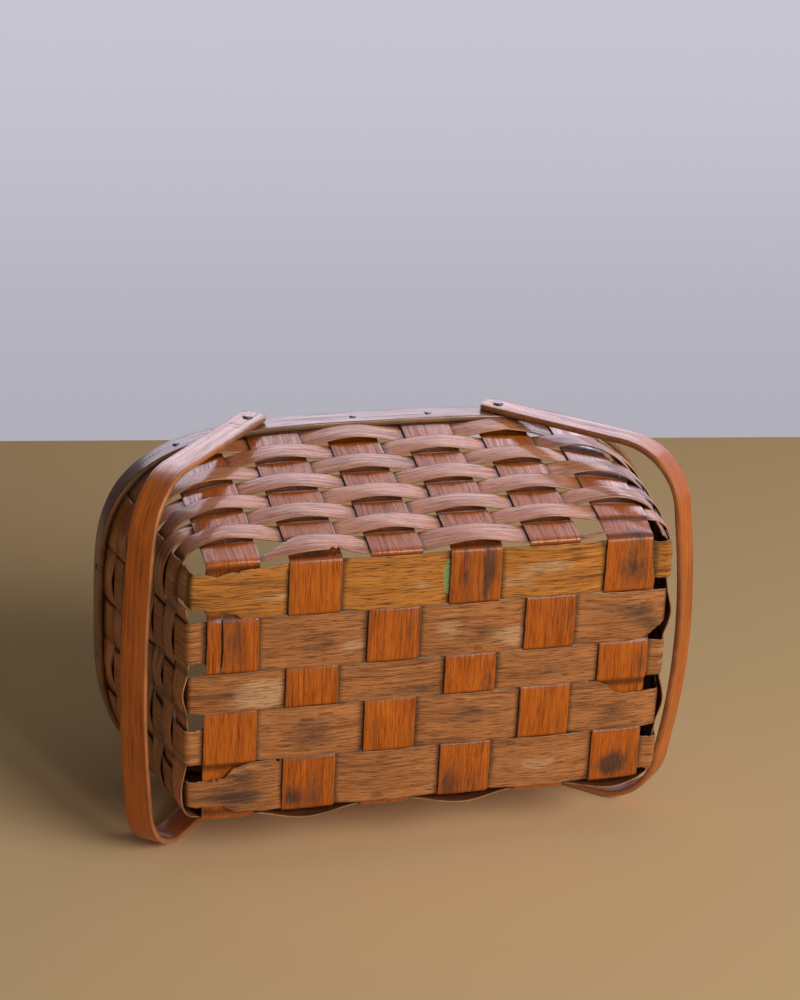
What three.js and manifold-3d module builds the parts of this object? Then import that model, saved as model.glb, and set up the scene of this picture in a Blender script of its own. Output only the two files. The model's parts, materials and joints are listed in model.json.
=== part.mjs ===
// A splint-woven picnic basket with two bentwood swing handles, lying on one long side.
//
// Wide flat splints cross under the base and turn up as the stakes of the walls. Eight narrow weaver
// courses lace round the stakes, over one and under the next. Two bent hoops grip the stake ends at
// the rim and are nailed through. Each handle is a bent strip whose legs turn on rivets in the rim.
//
// The basket is built standing, with its base on z = 0 and its length along x, and the whole of it is
// then laid down on the outer faces of its handle legs, so that the base faces -y and the mouth +y.
// Lengths are in millimetres.

import * as THREE from "three";
import { mergeVertices } from "three/addons/utils/BufferGeometryUtils.js";
import Module from "manifold-3d";

const wasm = await Module();
wasm.setup();

// Driving dimensions of the splints.
const splintThickness = 1.4;
const stakeWidth = 39.5;
const middleStakeWidth = 29;
const fitGap = 0.3;

// The base: six cross stakes under the width, five long stakes under the length.
const crossStakeCount = 6;
const longStakeGap = 2.2;
const rowArch = 0.8;
const sideRoom = 3.4;
const endRoom = 12;
const bendRise = 2.6;

// The walls and the rim, measured over the outer hoop.
const height = 169;
const rimLength = 443;
const rimWidth = 295;
const endFlare = 34.25;
const baseExponent = 24;
const rimExponent = 3.7;
const weaverCount = 8;
const weaverGap = 1.2;
const hoopRoom = 1;
const weaverArch = 3;
const stakeTopInset = 1.5;

// The two rim hoops and their nails.
const hoopHeight = 22;
const outerHoopThickness = 4.5;
const innerHoopThickness = 3.5;
const hoopEdgeRound = 0.9;
const scarfSpans = 3;
const scarfTip = 0.8;
const nailHeadRadius = 2.6;
const nailHeadHeight = 0.9;
const nailShankRadius = 1;
const firstNailOffset = -9;
const middleNailOffset = 6;
const lastNailOffset = 12;

// The handles, and the rivets that they turn on. The rivets go through the second stake from each end
// of a long side, at an offset from its middle line towards the end.
const leftPivotOffset = 16;
const rightPivotOffset = 3;
const handleReach = 165;
const handleBow = 9;
const handleWidth = 21.5;
const handleThickness = 4.8;
const handleCornerRadius = 52;
const handleEdgeRound = 1.1;
const legEnd = 11.5;
const leftGripRoom = 8;
const rightGripRoom = 1.4;
const rivetHeadRadius = 4;
const rivetHeadHeight = 1.3;
const rivetShankRadius = 2;
const clinchRadius = 3.2;
const clinchHeight = 1;

// Steps of the curved forms.
const cornerSteps = 4;
const bendSteps = 3;
const handleCornerSteps = 7;
const handleBarSteps = 6;
const rivetSides = 12;
const nailSides = 6;
const hangSteps = 40;

// Values worked out from the driving dimensions.
const lace = (splintThickness + fitGap) / 2;
const baseLevel = lace + rowArch + splintThickness / 2;
const wallTop = height - hoopHeight;
const rimInset = outerHoopThickness + fitGap + splintThickness / 2;
const rimHalfLength = rimLength / 2 - rimInset;
const rimHalfWidth = rimWidth / 2 - rimInset;
const baseHalfLength = rimHalfLength - endFlare;
const crossSpan = 2 * (baseHalfLength - endRoom) - stakeWidth;
const crossStakePitch = crossSpan / (crossStakeCount - 1);
const crossCentres = Array.from(
  { length: crossStakeCount },
  (_, i) => (i - (crossStakeCount - 1) / 2) * crossStakePitch
);
const innerRow = middleStakeWidth / 2 + longStakeGap + stakeWidth / 2;
const outerRow = innerRow + longStakeGap + stakeWidth;
const longStakes = [
  { y: -outerRow, width: stakeWidth },
  { y: -innerRow, width: stakeWidth },
  { y: 0, width: middleStakeWidth },
  { y: innerRow, width: stakeWidth },
  { y: outerRow, width: stakeWidth },
];
const baseHalfWidth = outerRow + stakeWidth / 2 + sideRoom;
const weaverStart = baseLevel + bendRise + fitGap;
const weaverPitch = (wallTop - hoopRoom - weaverStart) / weaverCount;
const pivotHeight = height - hoopHeight / 2;
const pivots = [
  { name: "left", side: -1, reach: crossCentres.at(-2) + leftPivotOffset, room: leftGripRoom },
  { name: "right", side: 1, reach: crossCentres.at(-2) + rightPivotOffset, room: rightGripRoom },
];

// Colours of the finishes.
const finishes = {
  stake: { color: 0xb06a2c, roughness: 0.5 },
  row: { color: 0xb88a5c, roughness: 0.65 },
  weaver: { color: 0x9c6238, roughness: 0.45 },
  hoop: { color: 0x8a4a1e, roughness: 0.4 },
  handle: { color: 0xa85a1e, roughness: 0.4 },
  steel: { color: 0x6f7478, roughness: 0.35, metalness: 0.9 },
};

function named(name, geometry, finish) {
  const mesh = new THREE.Mesh(geometry, new THREE.MeshStandardMaterial(finishes[finish]));
  mesh.name = name;
  return mesh;
}

// Solids

// Skins a row of rings that all have the same number of points. A loop joins its last ring to its
// first, and an open row is capped at both ends. Rings run clockwise as seen looking along the row.
function loft(rings, isLoop) {
  const sides = rings[0].length;
  const positions = rings.flat().flatMap((p) => [p.x, p.y, p.z]);
  const faces = [];
  const spans = isLoop ? rings.length : rings.length - 1;
  for (let i = 0; i < spans; i++) {
    const here = i * sides;
    const next = ((i + 1) % rings.length) * sides;
    for (let j = 0; j < sides; j++) {
      const k = (j + 1) % sides;
      faces.push(here + j, here + k, next + j);
      faces.push(here + k, next + k, next + j);
    }
  }
  if (!isLoop) {
    const last = (rings.length - 1) * sides;
    for (let j = 1; j < sides - 1; j++) {
      faces.push(0, j + 1, j);
      faces.push(last, last + j, last + j + 1);
    }
  }
  const geometry = new THREE.BufferGeometry();
  geometry.setAttribute("position", new THREE.Float32BufferAttribute(positions, 3));
  geometry.setIndex(faces);
  return outward(geometry);
}

// Turns the faces round if they point inwards, by the sign of the volume that they close.
function outward(geometry) {
  const p = geometry.getAttribute("position");
  const index = geometry.index.array;
  const [a, b, c] = [new THREE.Vector3(), new THREE.Vector3(), new THREE.Vector3()];
  let volume = 0;
  for (let i = 0; i < index.length; i += 3) {
    a.fromBufferAttribute(p, index[i]);
    b.fromBufferAttribute(p, index[i + 1]);
    c.fromBufferAttribute(p, index[i + 2]);
    volume += a.dot(b.cross(c));
  }
  if (volume < 0) {
    for (let i = 0; i < index.length; i += 3) {
      [index[i + 1], index[i + 2]] = [index[i + 2], index[i + 1]];
    }
  }
  geometry.computeVertexNormals();
  return geometry;
}

function solid(geometry, matrix) {
  const bare = geometry.clone();
  bare.deleteAttribute("normal");
  bare.deleteAttribute("uv");
  if (matrix) bare.applyMatrix4(matrix);
  const merged = mergeVertices(bare);
  return new wasm.Manifold(
    new wasm.Mesh({
      numProp: 3,
      vertProperties: merged.getAttribute("position").array,
      triVerts: new Uint32Array(merged.index.array),
    })
  );
}

function surface(body) {
  const mesh = body.getMesh();
  const geometry = new THREE.BufferGeometry();
  geometry.setAttribute("position", new THREE.BufferAttribute(mesh.vertProperties, 3));
  geometry.setIndex(new THREE.BufferAttribute(mesh.triVerts, 1));
  geometry.computeVertexNormals();
  return geometry;
}

// Drills round holes through a geometry. A hole is a place, an outward direction, a radius and its
// number of sides, and it runs to the same depth on both sides of its place.
function drill(geometry, holes, depth) {
  let body = solid(geometry);
  for (const hole of holes) {
    const cutter = new THREE.CylinderGeometry(hole.radius, hole.radius, 2 * depth, hole.sides);
    body = body.subtract(solid(cutter, facing(hole.place, hole.direction)));
  }
  return surface(body);
}

// The matrix that carries a piece made along +y to a place, with its +y along a direction.
function facing(place, direction) {
  const turn = new THREE.Quaternion().setFromUnitVectors(new THREE.Vector3(0, 1, 0), direction);
  return new THREE.Matrix4().compose(place, turn, new THREE.Vector3(1, 1, 1));
}

// The wall

// The middle surface of the wall has rounded oblong sections, which grow and round off as they rise.
// At each height the section is |x / a|^n + |y / b|^n = 1.
function section(z) {
  const share = THREE.MathUtils.clamp((z - baseLevel) / (wallTop - baseLevel), 0, 1);
  return {
    a: THREE.MathUtils.lerp(baseHalfLength, rimHalfLength, share),
    b: THREE.MathUtils.lerp(baseHalfWidth, rimHalfWidth, share),
    n: 1 / THREE.MathUtils.lerp(1 / baseExponent, 1 / rimExponent, share),
  };
}

// A rail is a line up the wall: it gives the point of the middle surface at a height.
function sideRail(x, side) {
  return (z) => {
    const { a, b, n } = section(z);
    return new THREE.Vector3(x, side * b * (1 - Math.abs(x / a) ** n) ** (1 / n), z);
  };
}

function endRail(y, side) {
  return (z) => {
    const { a, b, n } = section(z);
    return new THREE.Vector3(side * a * (1 - Math.abs(y / b) ** n) ** (1 / n), y, z);
  };
}

// A rail in a rounded corner, at a share of the way from the last cross stake to the last long stake.
function cornerRail(xSide, ySide, share) {
  const lastX = baseHalfLength - endRoom;
  const lastY = baseHalfWidth - sideRoom;
  return (z) => {
    const { a, b, n } = section(z);
    const from = Math.acos((lastX / a) ** (n / 2));
    const to = Math.asin((lastY / b) ** (n / 2));
    const angle = THREE.MathUtils.lerp(from, to, share);
    const x = xSide * a * Math.cos(angle) ** (2 / n);
    const y = ySide * b * Math.sin(angle) ** (2 / n);
    return new THREE.Vector3(x, y, z);
  };
}

// Heights of the lower and upper edge of a weaver, counted from 1 at the base.
function weaverEdges(course) {
  const low = weaverStart + (course - 1) * weaverPitch;
  return [low + weaverGap / 2, low + weaverPitch - weaverGap / 2];
}

// The stakes

// A stake's stations run from one stake end down the wall, across the base and up the other wall.
// Each has the points of the strip's two edges and its middle line, and how far it is laced outwards.
function wallStations(rails, side, stakeIsOver) {
  const stations = [];
  const add = (z, offset) => stations.push({ points: rails.map((rail) => rail(z)), offset, side });
  add(height - stakeTopInset, 0);
  add(wallTop, 0);
  for (let course = weaverCount; course >= 1; course--) {
    const [low, high] = weaverEdges(course);
    const offset = stakeIsOver(course) ? lace : -lace;
    add(high, offset);
    add(low, offset);
  }
  return stations;
}

// The bend from the wall into the base, a curve between the last wall point and the base plane.
function bendStations(rails, inwards, side, from, to) {
  const stations = [];
  for (let i = 1; i <= bendSteps; i++) {
    const share = i / bendSteps;
    const points = rails.map((rail) => {
      const start = rail(baseLevel + bendRise);
      const corner = rail(baseLevel);
      const end = corner.clone().addScaledVector(inwards, bendRise);
      return new THREE.QuadraticBezierCurve3(start, corner, end).getPoint(share);
    });
    stations.push({ points, offset: THREE.MathUtils.lerp(from, to, share), side });
  }
  return stations;
}

// Turns stations into rings, with the strip's thickness along the outward normal at each.
function stripRings(stations) {
  const middle = ({ points }) => points[0].clone().add(points.at(-1));
  return stations.map((station, i) => {
    const before = stations[Math.max(i - 1, 0)];
    const after = stations[Math.min(i + 1, stations.length - 1)];
    const along = middle(after).sub(middle(before));
    const across = station.points.at(-1).clone().sub(station.points[0]);
    const normal = along.cross(across).normalize();
    const outer = station.offset + splintThickness / 2;
    const inner = station.offset - splintThickness / 2;
    return [
      ...station.points.map((p) => p.clone().addScaledVector(normal, outer)),
      ...station.points.map((p) => p.clone().addScaledVector(normal, inner)).reverse(),
    ];
  });
}

// A stake is laid along its two edges, and the outer long ones along their middles too, because they
// bend round the corners of the wall.
function crossStake(i) {
  const lines = [-1, 1].map((edge) => crossCentres[i - 1] + (edge * stakeWidth) / 2);
  const stakeIsOver = (course) => (i + course) % 2 === 0;
  const halves = [-1, 1].map((side) => {
    const rails = lines.map((line) => sideRail(line, side));
    const inwards = new THREE.Vector3(0, -side, 0);
    const firstRow = (i + (side < 0 ? 1 : longStakes.length)) % 2 === 1 ? lace : -lace;
    const firstCourse = stakeIsOver(1) ? lace : -lace;
    return [
      ...wallStations(rails, side, stakeIsOver),
      ...bendStations(rails, inwards, side, firstCourse, firstRow),
    ];
  });
  const crossing = longStakes.flatMap((row, j) => {
    const offset = (i + j + 1) % 2 === 1 ? lace : -lace;
    return [-1, 1].map((edge) => ({
      points: lines.map((line) => new THREE.Vector3(line, row.y + (edge * row.width) / 2, baseLevel)),
      offset,
    }));
  });
  return loft(stripRings([...halves[0], ...crossing, ...halves[1].reverse()]), false);
}

function longStake(j) {
  const { y, width } = longStakes[j - 1];
  const isOuter = j === 1 || j === longStakes.length;
  const lines = (isOuter ? [1, 0, -1] : [1, -1]).map((edge) => y + (edge * width) / 2);
  const halves = [-1, 1].map((side) => {
    const parity = side < 0 ? 1 : 0;
    const stakeIsOver = (course) => (j + course + parity) % 2 === 0;
    const rails = lines.map((line) => endRail(line, side));
    const inwards = new THREE.Vector3(-side, 0, 0);
    const first = stakeIsOver(1) ? lace : -lace;
    return [...wallStations(rails, side, stakeIsOver), ...bendStations(rails, inwards, side, first, -first)];
  });
  const crossing = crossCentres.flatMap((x, i) => {
    const sign = (i + 1 + j) % 2 === 0 ? 1 : -1;
    return [-1, 0, 1].map((edge) => ({
      points: lines.map((line) => new THREE.Vector3(x + (edge * stakeWidth) / 2, line, baseLevel)),
      offset: sign * (edge === 0 ? lace + rowArch : lace),
    }));
  });
  return loft(stripRings([...halves[0], ...crossing, ...halves[1].reverse()]), false);
}

// The weavers

// The stakes round the wall in order, from the +x end by way of the +y side, in four runs. Each gives
// the rails of its first edge, its middle and its last edge, whether the first weaver lies over it,
// and whether it is laid along its middle too.
function stakesRound() {
  const sideStakes = (side) =>
    crossCentres.map((x, i) => ({
      rails: [1, 0, -1].map((edge) => sideRail(x + (edge * side * stakeWidth) / 2, side)),
      firstIsOver: i % 2 === 1,
      isBent: false,
    }));
  const endStakes = (side) =>
    longStakes.map((row, j) => ({
      rails: [-1, 0, 1].map((edge) => endRail(row.y + (edge * side * row.width) / 2, side)),
      firstIsOver: side > 0 ? j % 2 === 1 : j % 2 === 0,
      isBent: j === 0 || j === longStakes.length - 1,
    }));
  return [endStakes(1), sideStakes(1).reverse(), endStakes(-1).reverse(), sideStakes(-1)];
}

const cornerOrder = [
  { x: 1, y: 1, fromEnd: true },
  { x: -1, y: 1, fromEnd: false },
  { x: -1, y: -1, fromEnd: true },
  { x: 1, y: -1, fromEnd: false },
];

function weaver(course) {
  const [low, high] = weaverEdges(course);
  const stops = [];
  stakesRound().forEach((stakes, quarter) => {
    stakes.forEach(({ rails, firstIsOver }) => {
      const sign = (course % 2 === 1) === firstIsOver ? 1 : -1;
      stops.push({ rail: rails[0], offset: sign * lace });
      stops.push({ rail: rails[1], offset: sign * (lace + weaverArch) });
      stops.push({ rail: rails[2], offset: sign * lace });
    });
    const { x, y, fromEnd } = cornerOrder[quarter];
    const start = stops.at(-1).offset;
    for (let i = 1; i < cornerSteps; i++) {
      const share = i / cornerSteps;
      stops.push({
        rail: cornerRail(x, y, fromEnd ? 1 - share : share),
        offset: start * Math.cos(Math.PI * share),
      });
    }
  });
  const rings = stops.map(({ rail, offset }, i) => {
    const before = stops.at(i - 1).rail;
    const after = stops[(i + 1) % stops.length].rail;
    const up = rail(high).sub(rail(low));
    const round = after(low).sub(before(low));
    const normal = round.cross(up).normalize();
    const outer = offset + splintThickness / 2;
    const inner = offset - splintThickness / 2;
    return [
      rail(low).addScaledVector(normal, outer),
      rail(high).addScaledVector(normal, outer),
      rail(high).addScaledVector(normal, inner),
      rail(low).addScaledVector(normal, inner),
    ];
  });
  return loft(rings, true);
}

// The rim

// The outward direction of the rim at one of its points.
function rimNormal(point) {
  const n = rimExponent;
  return new THREE.Vector3(
    (Math.sign(point.x) * Math.abs(point.x / rimHalfLength) ** (n - 1)) / rimHalfLength,
    (Math.sign(point.y) * Math.abs(point.y / rimHalfWidth) ** (n - 1)) / rimHalfWidth,
    0
  ).normalize();
}

// The rim's places in order round it: the edges of the stakes, the middles of those that bend, and the
// corners between. The first is on a long side, before its two middle stakes.
function rimPlaces(side) {
  const places = [];
  stakesRound().forEach((stakes, quarter) => {
    stakes.forEach(({ rails, isBent }) => {
      places.push(rails[0](height));
      if (isBent) places.push(rails[1](height));
      places.push(rails[2](height));
    });
    const { x, y, fromEnd } = cornerOrder[quarter];
    for (let i = 1; i < cornerSteps; i++) {
      const share = i / cornerSteps;
      places.push(cornerRail(x, y, fromEnd ? 1 - share : share)(height));
    }
  });
  const isFirst = (place) => place.y * side > rimHalfWidth / 2 && Math.abs(place.x) < crossStakePitch;
  const first = places.findIndex(isFirst);
  return [...places.slice(first), ...places.slice(0, first)];
}

// A hoop is one bent strip whose two ends overlap in a long scarf, over a few places of the rim. The
// far end lies outside the near one, and each thins to a tip.
function hoop(innerOffset, thickness, side) {
  const places = rimPlaces(side);
  const slope = (thickness - 2 * scarfTip - fitGap) / scarfSpans;
  const rings = [];
  const add = (point, inner, outer) => {
    const normal = rimNormal(point);
    const round = Math.min(hoopEdgeRound, (outer - inner) / 3);
    const at = (offset, z) =>
      new THREE.Vector3(point.x, point.y, z).addScaledVector(normal, innerOffset + offset);
    rings.push([
      at(inner, wallTop),
      at(outer - round, wallTop),
      at(outer, wallTop + round),
      at(outer, height - round),
      at(outer - round, height),
      at(inner, height),
    ]);
  };
  const beside = (place, other) => {
    const step = other.clone().sub(place);
    return place.clone().addScaledVector(step, fitGap / step.length());
  };
  for (let i = 0; i <= scarfSpans; i++) add(places[i], 0, scarfTip + slope * i);
  add(beside(places[scarfSpans], places[scarfSpans + 1]), 0, thickness);
  for (let i = scarfSpans + 1; i < places.length; i++) add(places[i], 0, thickness);
  add(beside(places[0], places.at(-1)), 0, thickness);
  for (let i = 0; i <= scarfSpans; i++) add(places[i], scarfTip + fitGap + slope * i, thickness);
  return loft(rings, false);
}

// Places of the nails: through each outer cross stake and the two in the middle on both long sides,
// beside the middle line of the stake, and through two long stakes at each end.
function nailPlaces() {
  const nail = (stake, rail) => ({
    stake,
    place: rail(pivotHeight),
    direction: rimNormal(rail(pivotHeight)),
    radius: nailShankRadius + fitGap,
    sides: nailSides,
  });
  const offsets = [firstNailOffset, 0, middleNailOffset, middleNailOffset, 0, lastNailOffset];
  const inCross = (i, side) =>
    nail("cross_stake_" + i, sideRail(crossCentres[i - 1] + offsets[i - 1], side));
  const inLong = (j, side) => nail("long_stake_" + j, endRail(longStakes[j - 1].y, side));
  return [
    ...[1, 3, 4, 6].flatMap((i) => [-1, 1].map((side) => inCross(i, side))),
    ...[2, 4].flatMap((j) => [-1, 1].map((side) => inLong(j, side))),
  ];
}

// A nail or rivet is turned about its own axis: a domed head whose underside is at the height given,
// a shank down from it, and on a rivet a clinched end.
function turnedPin(headRadius, headHeight, shankRadius, length, sides, clinch) {
  const profile = [
    new THREE.Vector2(0, headHeight),
    new THREE.Vector2(headRadius * 0.7, headHeight * 0.75),
    new THREE.Vector2(headRadius, 0),
    new THREE.Vector2(shankRadius, 0),
    new THREE.Vector2(shankRadius, -length),
  ];
  if (clinch) {
    profile.push(
      new THREE.Vector2(clinch.radius, -length),
      new THREE.Vector2(clinch.radius, -length - clinch.height / 2),
      new THREE.Vector2(shankRadius, -length - clinch.height)
    );
  }
  profile.push(new THREE.Vector2(0, profile.at(-1).y));
  return new THREE.LatheGeometry(profile.reverse(), sides);
}

// The handles

const hoopReach = splintThickness / 2 + fitGap + outerHoopThickness;

// The outer face of the outer hoop, seen along the rim, at a distance from the middle of a long side.
function hoopFace(x) {
  const place = sideRail(x, 1)(height);
  return place.y + hoopReach * rimNormal(place).y;
}

const legInner = hoopFace(Math.min(...pivots.map(({ reach }) => reach)) - legEnd) + fitGap;
const legOuter = legInner + handleThickness;

// The room between the grip of a handle and the end wall, when the handle hangs at an angle below the
// rim: from the inner lower edge of the grip to the crest of a weaver.
function gripRoom(pivot, angle) {
  const inner = handleReach - handleThickness;
  const x = pivot.reach + inner * Math.cos(angle) - (handleWidth / 2) * Math.sin(angle);
  const z = pivotHeight - inner * Math.sin(angle) - (handleWidth / 2) * Math.cos(angle);
  return x - (section(z).a + lace + weaverArch + splintThickness / 2);
}

// The angle below the rim at which a handle hangs with its room left at the end wall.
function hangAngle(pivot) {
  let low = 0;
  let high = Math.PI / 2;
  for (let i = 0; i < hangSteps; i++) {
    const middle = (low + high) / 2;
    if (gripRoom(pivot, middle) > pivot.room) low = middle;
    else high = middle;
  }
  return low;
}

// The outer face of the handle as seen from its end: up one leg, round a corner, along the bowed
// grip and down the other leg. Places are given in the plane across the basket.
function handleOutline() {
  const r = handleCornerRadius;
  const gripHalf = legOuter - r;
  const points = [
    [-legOuter, -legEnd],
    [-legOuter, 0],
    [-legOuter, (handleReach - r) / 2],
  ];
  for (let i = 0; i <= handleCornerSteps; i++) {
    const angle = (Math.PI / 2) * (i / handleCornerSteps);
    points.push([-gripHalf - r * Math.cos(angle), handleReach - r + r * Math.sin(angle)]);
  }
  for (let i = 1; i < handleBarSteps; i++) {
    const share = (2 * i) / handleBarSteps - 1;
    points.push([gripHalf * share, handleReach + handleBow * (1 - share ** 2)]);
  }
  const mirrored = points.slice(0, 4 + handleCornerSteps).map(([y, z]) => [-y, z]);
  return [...points, ...mirrored.reverse()].map(([y, z]) => new THREE.Vector3(0, y, z));
}

function handle() {
  const outline = handleOutline();
  const round = handleEdgeRound;
  const half = handleWidth / 2;
  const rings = outline.map((point, i) => {
    const before = outline[Math.max(i - 1, 0)];
    const after = outline[Math.min(i + 1, outline.length - 1)];
    const along = after.clone().sub(before);
    const out = new THREE.Vector3(0, -along.z, along.y).normalize();
    const at = (depth, x) => point.clone().addScaledVector(out, -depth).setX(x);
    return [
      at(0, -half + round),
      at(0, half - round),
      at(round, half),
      at(handleThickness - round, half),
      at(handleThickness, half - round),
      at(handleThickness, -half + round),
      at(handleThickness - round, -half),
      at(round, -half),
    ];
  });
  const holes = [-1, 1].map((side) => ({
    place: new THREE.Vector3(0, side * legOuter, 0),
    direction: new THREE.Vector3(0, side, 0),
    radius: rivetShankRadius + fitGap,
    sides: rivetSides,
  }));
  return drill(loft(rings, false), holes, 2 * handleThickness);
}

// Rivets: the place under each head, on the outer face of a leg.
function rivetPlaces() {
  return pivots.flatMap((pivot) =>
    [-1, 1].map((ySide) => ({
      pivot,
      name: pivot.name + "_handle_rivet_" + (ySide < 0 ? "upper" : "lower"),
      stake: "cross_stake_" + (pivot.side < 0 ? 2 : crossStakeCount - 1),
      place: new THREE.Vector3(pivot.side * pivot.reach, ySide * (legOuter + fitGap), pivotHeight),
      direction: new THREE.Vector3(0, ySide, 0),
      radius: rivetShankRadius + fitGap,
      sides: rivetSides,
    }))
  );
}

// The grip of a rivet: from under its head to the inner face of the inner hoop beside it.
function rivetGrip(pivot) {
  const place = sideRail(pivot.reach + clinchRadius, 1)(height);
  const innerFace = place.y - (splintThickness / 2 + fitGap + innerHoopThickness) * rimNormal(place).y;
  const slope = rimNormal(place).x / rimNormal(place).y;
  return legOuter + fitGap - innerFace + slope * clinchRadius + fitGap;
}

// Assembly

const basket = new THREE.Group();
const nails = nailPlaces();
const rivets = rivetPlaces();
const drillReach = outerHoopThickness + innerHoopThickness + handleThickness;
const rivetHoles = rivets.map((rivet) => ({ ...rivet, place: rivet.place.clone() }));
for (const { place } of rivetHoles) place.y = Math.sign(place.y) * rimHalfWidth;
const rimHoles = [...nails, ...rivetHoles];

function addStake(name, geometry, finish) {
  const holes = rimHoles.filter(({ stake }) => stake === name);
  basket.add(named(name, drill(geometry, holes, drillReach), finish));
}

for (let i = 1; i <= crossStakeCount; i++) {
  addStake("cross_stake_" + i, crossStake(i), "stake");
}
for (let j = 1; j <= longStakes.length; j++) {
  addStake("long_stake_" + j, longStake(j), "row");
}
for (let course = 1; course <= weaverCount; course++) {
  basket.add(named("weaver_" + course, weaver(course), "weaver"));
}
const stakeFace = splintThickness / 2 + fitGap;
const outerHoop = hoop(stakeFace, outerHoopThickness, 1);
const innerHoop = hoop(-stakeFace - innerHoopThickness, innerHoopThickness, -1);
basket.add(named("rim_outer_hoop", drill(outerHoop, rimHoles, drillReach), "hoop"));
basket.add(named("rim_inner_hoop", drill(innerHoop, rimHoles, drillReach), "hoop"));

nails.forEach(({ place, direction }, i) => {
  const length = hoopReach + splintThickness / 2 + innerHoopThickness / 2;
  const pin = turnedPin(nailHeadRadius, nailHeadHeight, nailShankRadius, length + fitGap, nailSides);
  const nail = named("rim_nail_" + (i + 1), pin, "steel");
  nail.applyMatrix4(facing(place.clone().addScaledVector(direction, hoopReach + fitGap), direction));
  basket.add(nail);
});
rivets.forEach(({ pivot, name, place, direction }) => {
  const clinch = { radius: clinchRadius, height: clinchHeight };
  const grip = rivetGrip(pivot);
  const pin = turnedPin(rivetHeadRadius, rivetHeadHeight, rivetShankRadius, grip, rivetSides, clinch);
  const rivet = named(name, pin, "steel");
  rivet.applyMatrix4(facing(place, direction));
  basket.add(rivet);
});

// Each handle hangs in a group at its pivots, turned down past the rim by its drop.
for (const pivot of pivots) {
  const hinge = new THREE.Group();
  hinge.position.set(pivot.side * pivot.reach, 0, pivotHeight);
  hinge.rotation.y = pivot.side * (Math.PI / 2 + hangAngle(pivot));
  hinge.add(named(pivot.name + "_handle", handle(), "handle"));
  basket.add(hinge);
}

// The basket lies on the heads of its lower rivets and the far ends of its straight lower legs, so
// its middle line rises a little towards the mouth.
const meanHang = (hangAngle(pivots[0]) + hangAngle(pivots[1])) / 2;
const legRun = (handleReach - handleCornerRadius) * Math.sin(meanHang);
const heel = legRun + (handleWidth / 2) * Math.cos(meanHang);
const rise = Math.atan2(rivetHeadHeight + fitGap, heel);
basket.rotation.x = rise - Math.PI / 2;

const part = new THREE.Group();
part.add(basket);
part.updateMatrixWorld(true);
const bounds = new THREE.Box3().setFromObject(part, true);
const centre = bounds.getCenter(new THREE.Vector3());
basket.position.set(-centre.x, -centre.y, -bounds.min.z);

export default part;
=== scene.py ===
# A splint-woven picnic basket lying on one long side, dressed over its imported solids.
#
# Wide splints cross under the base and rise as the stakes of the walls, narrow weavers lace round
# them, two bent hoops grip their tops, and two bent handles swing on rivets through the rim. Each
# splint is laid out as a curved sheet along its own path, torn and worn where the real one is, and
# a geometry nodes tree gives it its thickness. Lengths are in metres.

import json
import math
from collections import namedtuple

import bpy
import numpy as np
from bpy.props import FloatProperty, FloatVectorProperty, IntProperty, PointerProperty
from mathutils import Matrix, Vector


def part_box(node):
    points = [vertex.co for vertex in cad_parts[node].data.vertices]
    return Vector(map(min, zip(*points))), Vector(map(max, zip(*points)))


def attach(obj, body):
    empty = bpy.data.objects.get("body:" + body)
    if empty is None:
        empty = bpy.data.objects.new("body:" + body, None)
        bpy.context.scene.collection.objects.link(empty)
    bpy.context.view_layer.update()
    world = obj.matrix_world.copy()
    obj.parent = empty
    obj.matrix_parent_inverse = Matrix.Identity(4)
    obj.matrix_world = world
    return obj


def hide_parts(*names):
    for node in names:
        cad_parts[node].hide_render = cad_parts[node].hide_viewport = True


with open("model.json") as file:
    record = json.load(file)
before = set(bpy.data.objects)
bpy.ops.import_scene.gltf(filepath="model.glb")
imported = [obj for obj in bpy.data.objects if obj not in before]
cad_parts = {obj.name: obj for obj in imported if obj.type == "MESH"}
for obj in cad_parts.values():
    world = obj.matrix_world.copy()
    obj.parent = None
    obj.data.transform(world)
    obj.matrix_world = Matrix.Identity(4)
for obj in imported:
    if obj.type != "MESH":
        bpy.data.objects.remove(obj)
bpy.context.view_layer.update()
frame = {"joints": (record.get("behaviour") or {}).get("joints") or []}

bl_info = {
    "name": "Splint basket",
    "version": (1, 0, 0),
    "blender": (4, 5, 0),
    "location": "View3D > Sidebar > Basket",
    "description": "Builds a splint-woven picnic basket with two swing handles",
    "category": "Add Mesh",
}

COURSES = 8
CROSS_STAKES = 6
LONG_STAKES = 5

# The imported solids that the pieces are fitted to: half the thickness of a splint, how far over the
# base's middle surface the courses start, and the room between the last one and the hoops.
HALF_SPLINT = 0.0007
BEND_RISE = 0.0026
HOOP_ROOM = 0.001

# A section of the wall is an oblong |x/a|**n + |y/b|**n = 1, square at the base, round at the rim.
BASE_EXPONENT = 24
RIM_EXPONENT = 3.7

# Distances between the rows of points along a strip, and how many of them cross it.
FINE_STEP = 0.001
COARSE_STEP = 0.002
POINTS_ACROSS = 7
HOOP_POINTS_ACROSS = 9
STAKE_POINTS_ACROSS = 13

# How a strip lies: the radius of its rounded edges, and the depth and scale of its unevenness.
Lie = namedtuple("Lie", "radius waviness wave_scale")
SPLINT_LIE = Lie(0.0005, 0.0003, 25)
HOOP_LIE = Lie(0.0011, 0.0002, 12)
HANDLE_LIE = Lie(0.0013, 0.0003, 12)


# Sizes, colours and the stage


def length(name, description, default):
    return FloatProperty(
        name=name, description=description, default=default, unit="LENGTH", precision=5
    )


def colour(name, description, default):
    return FloatVectorProperty(
        name=name, description=description, default=default, subtype="COLOR", size=3, min=0, max=1
    )


def share(name, description, default):
    return FloatProperty(
        name=name, description=description, default=default, subtype="FACTOR", min=0, max=1
    )


def power(name, description, default):
    return FloatProperty(name=name, description=description, default=default, min=0)


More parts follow.
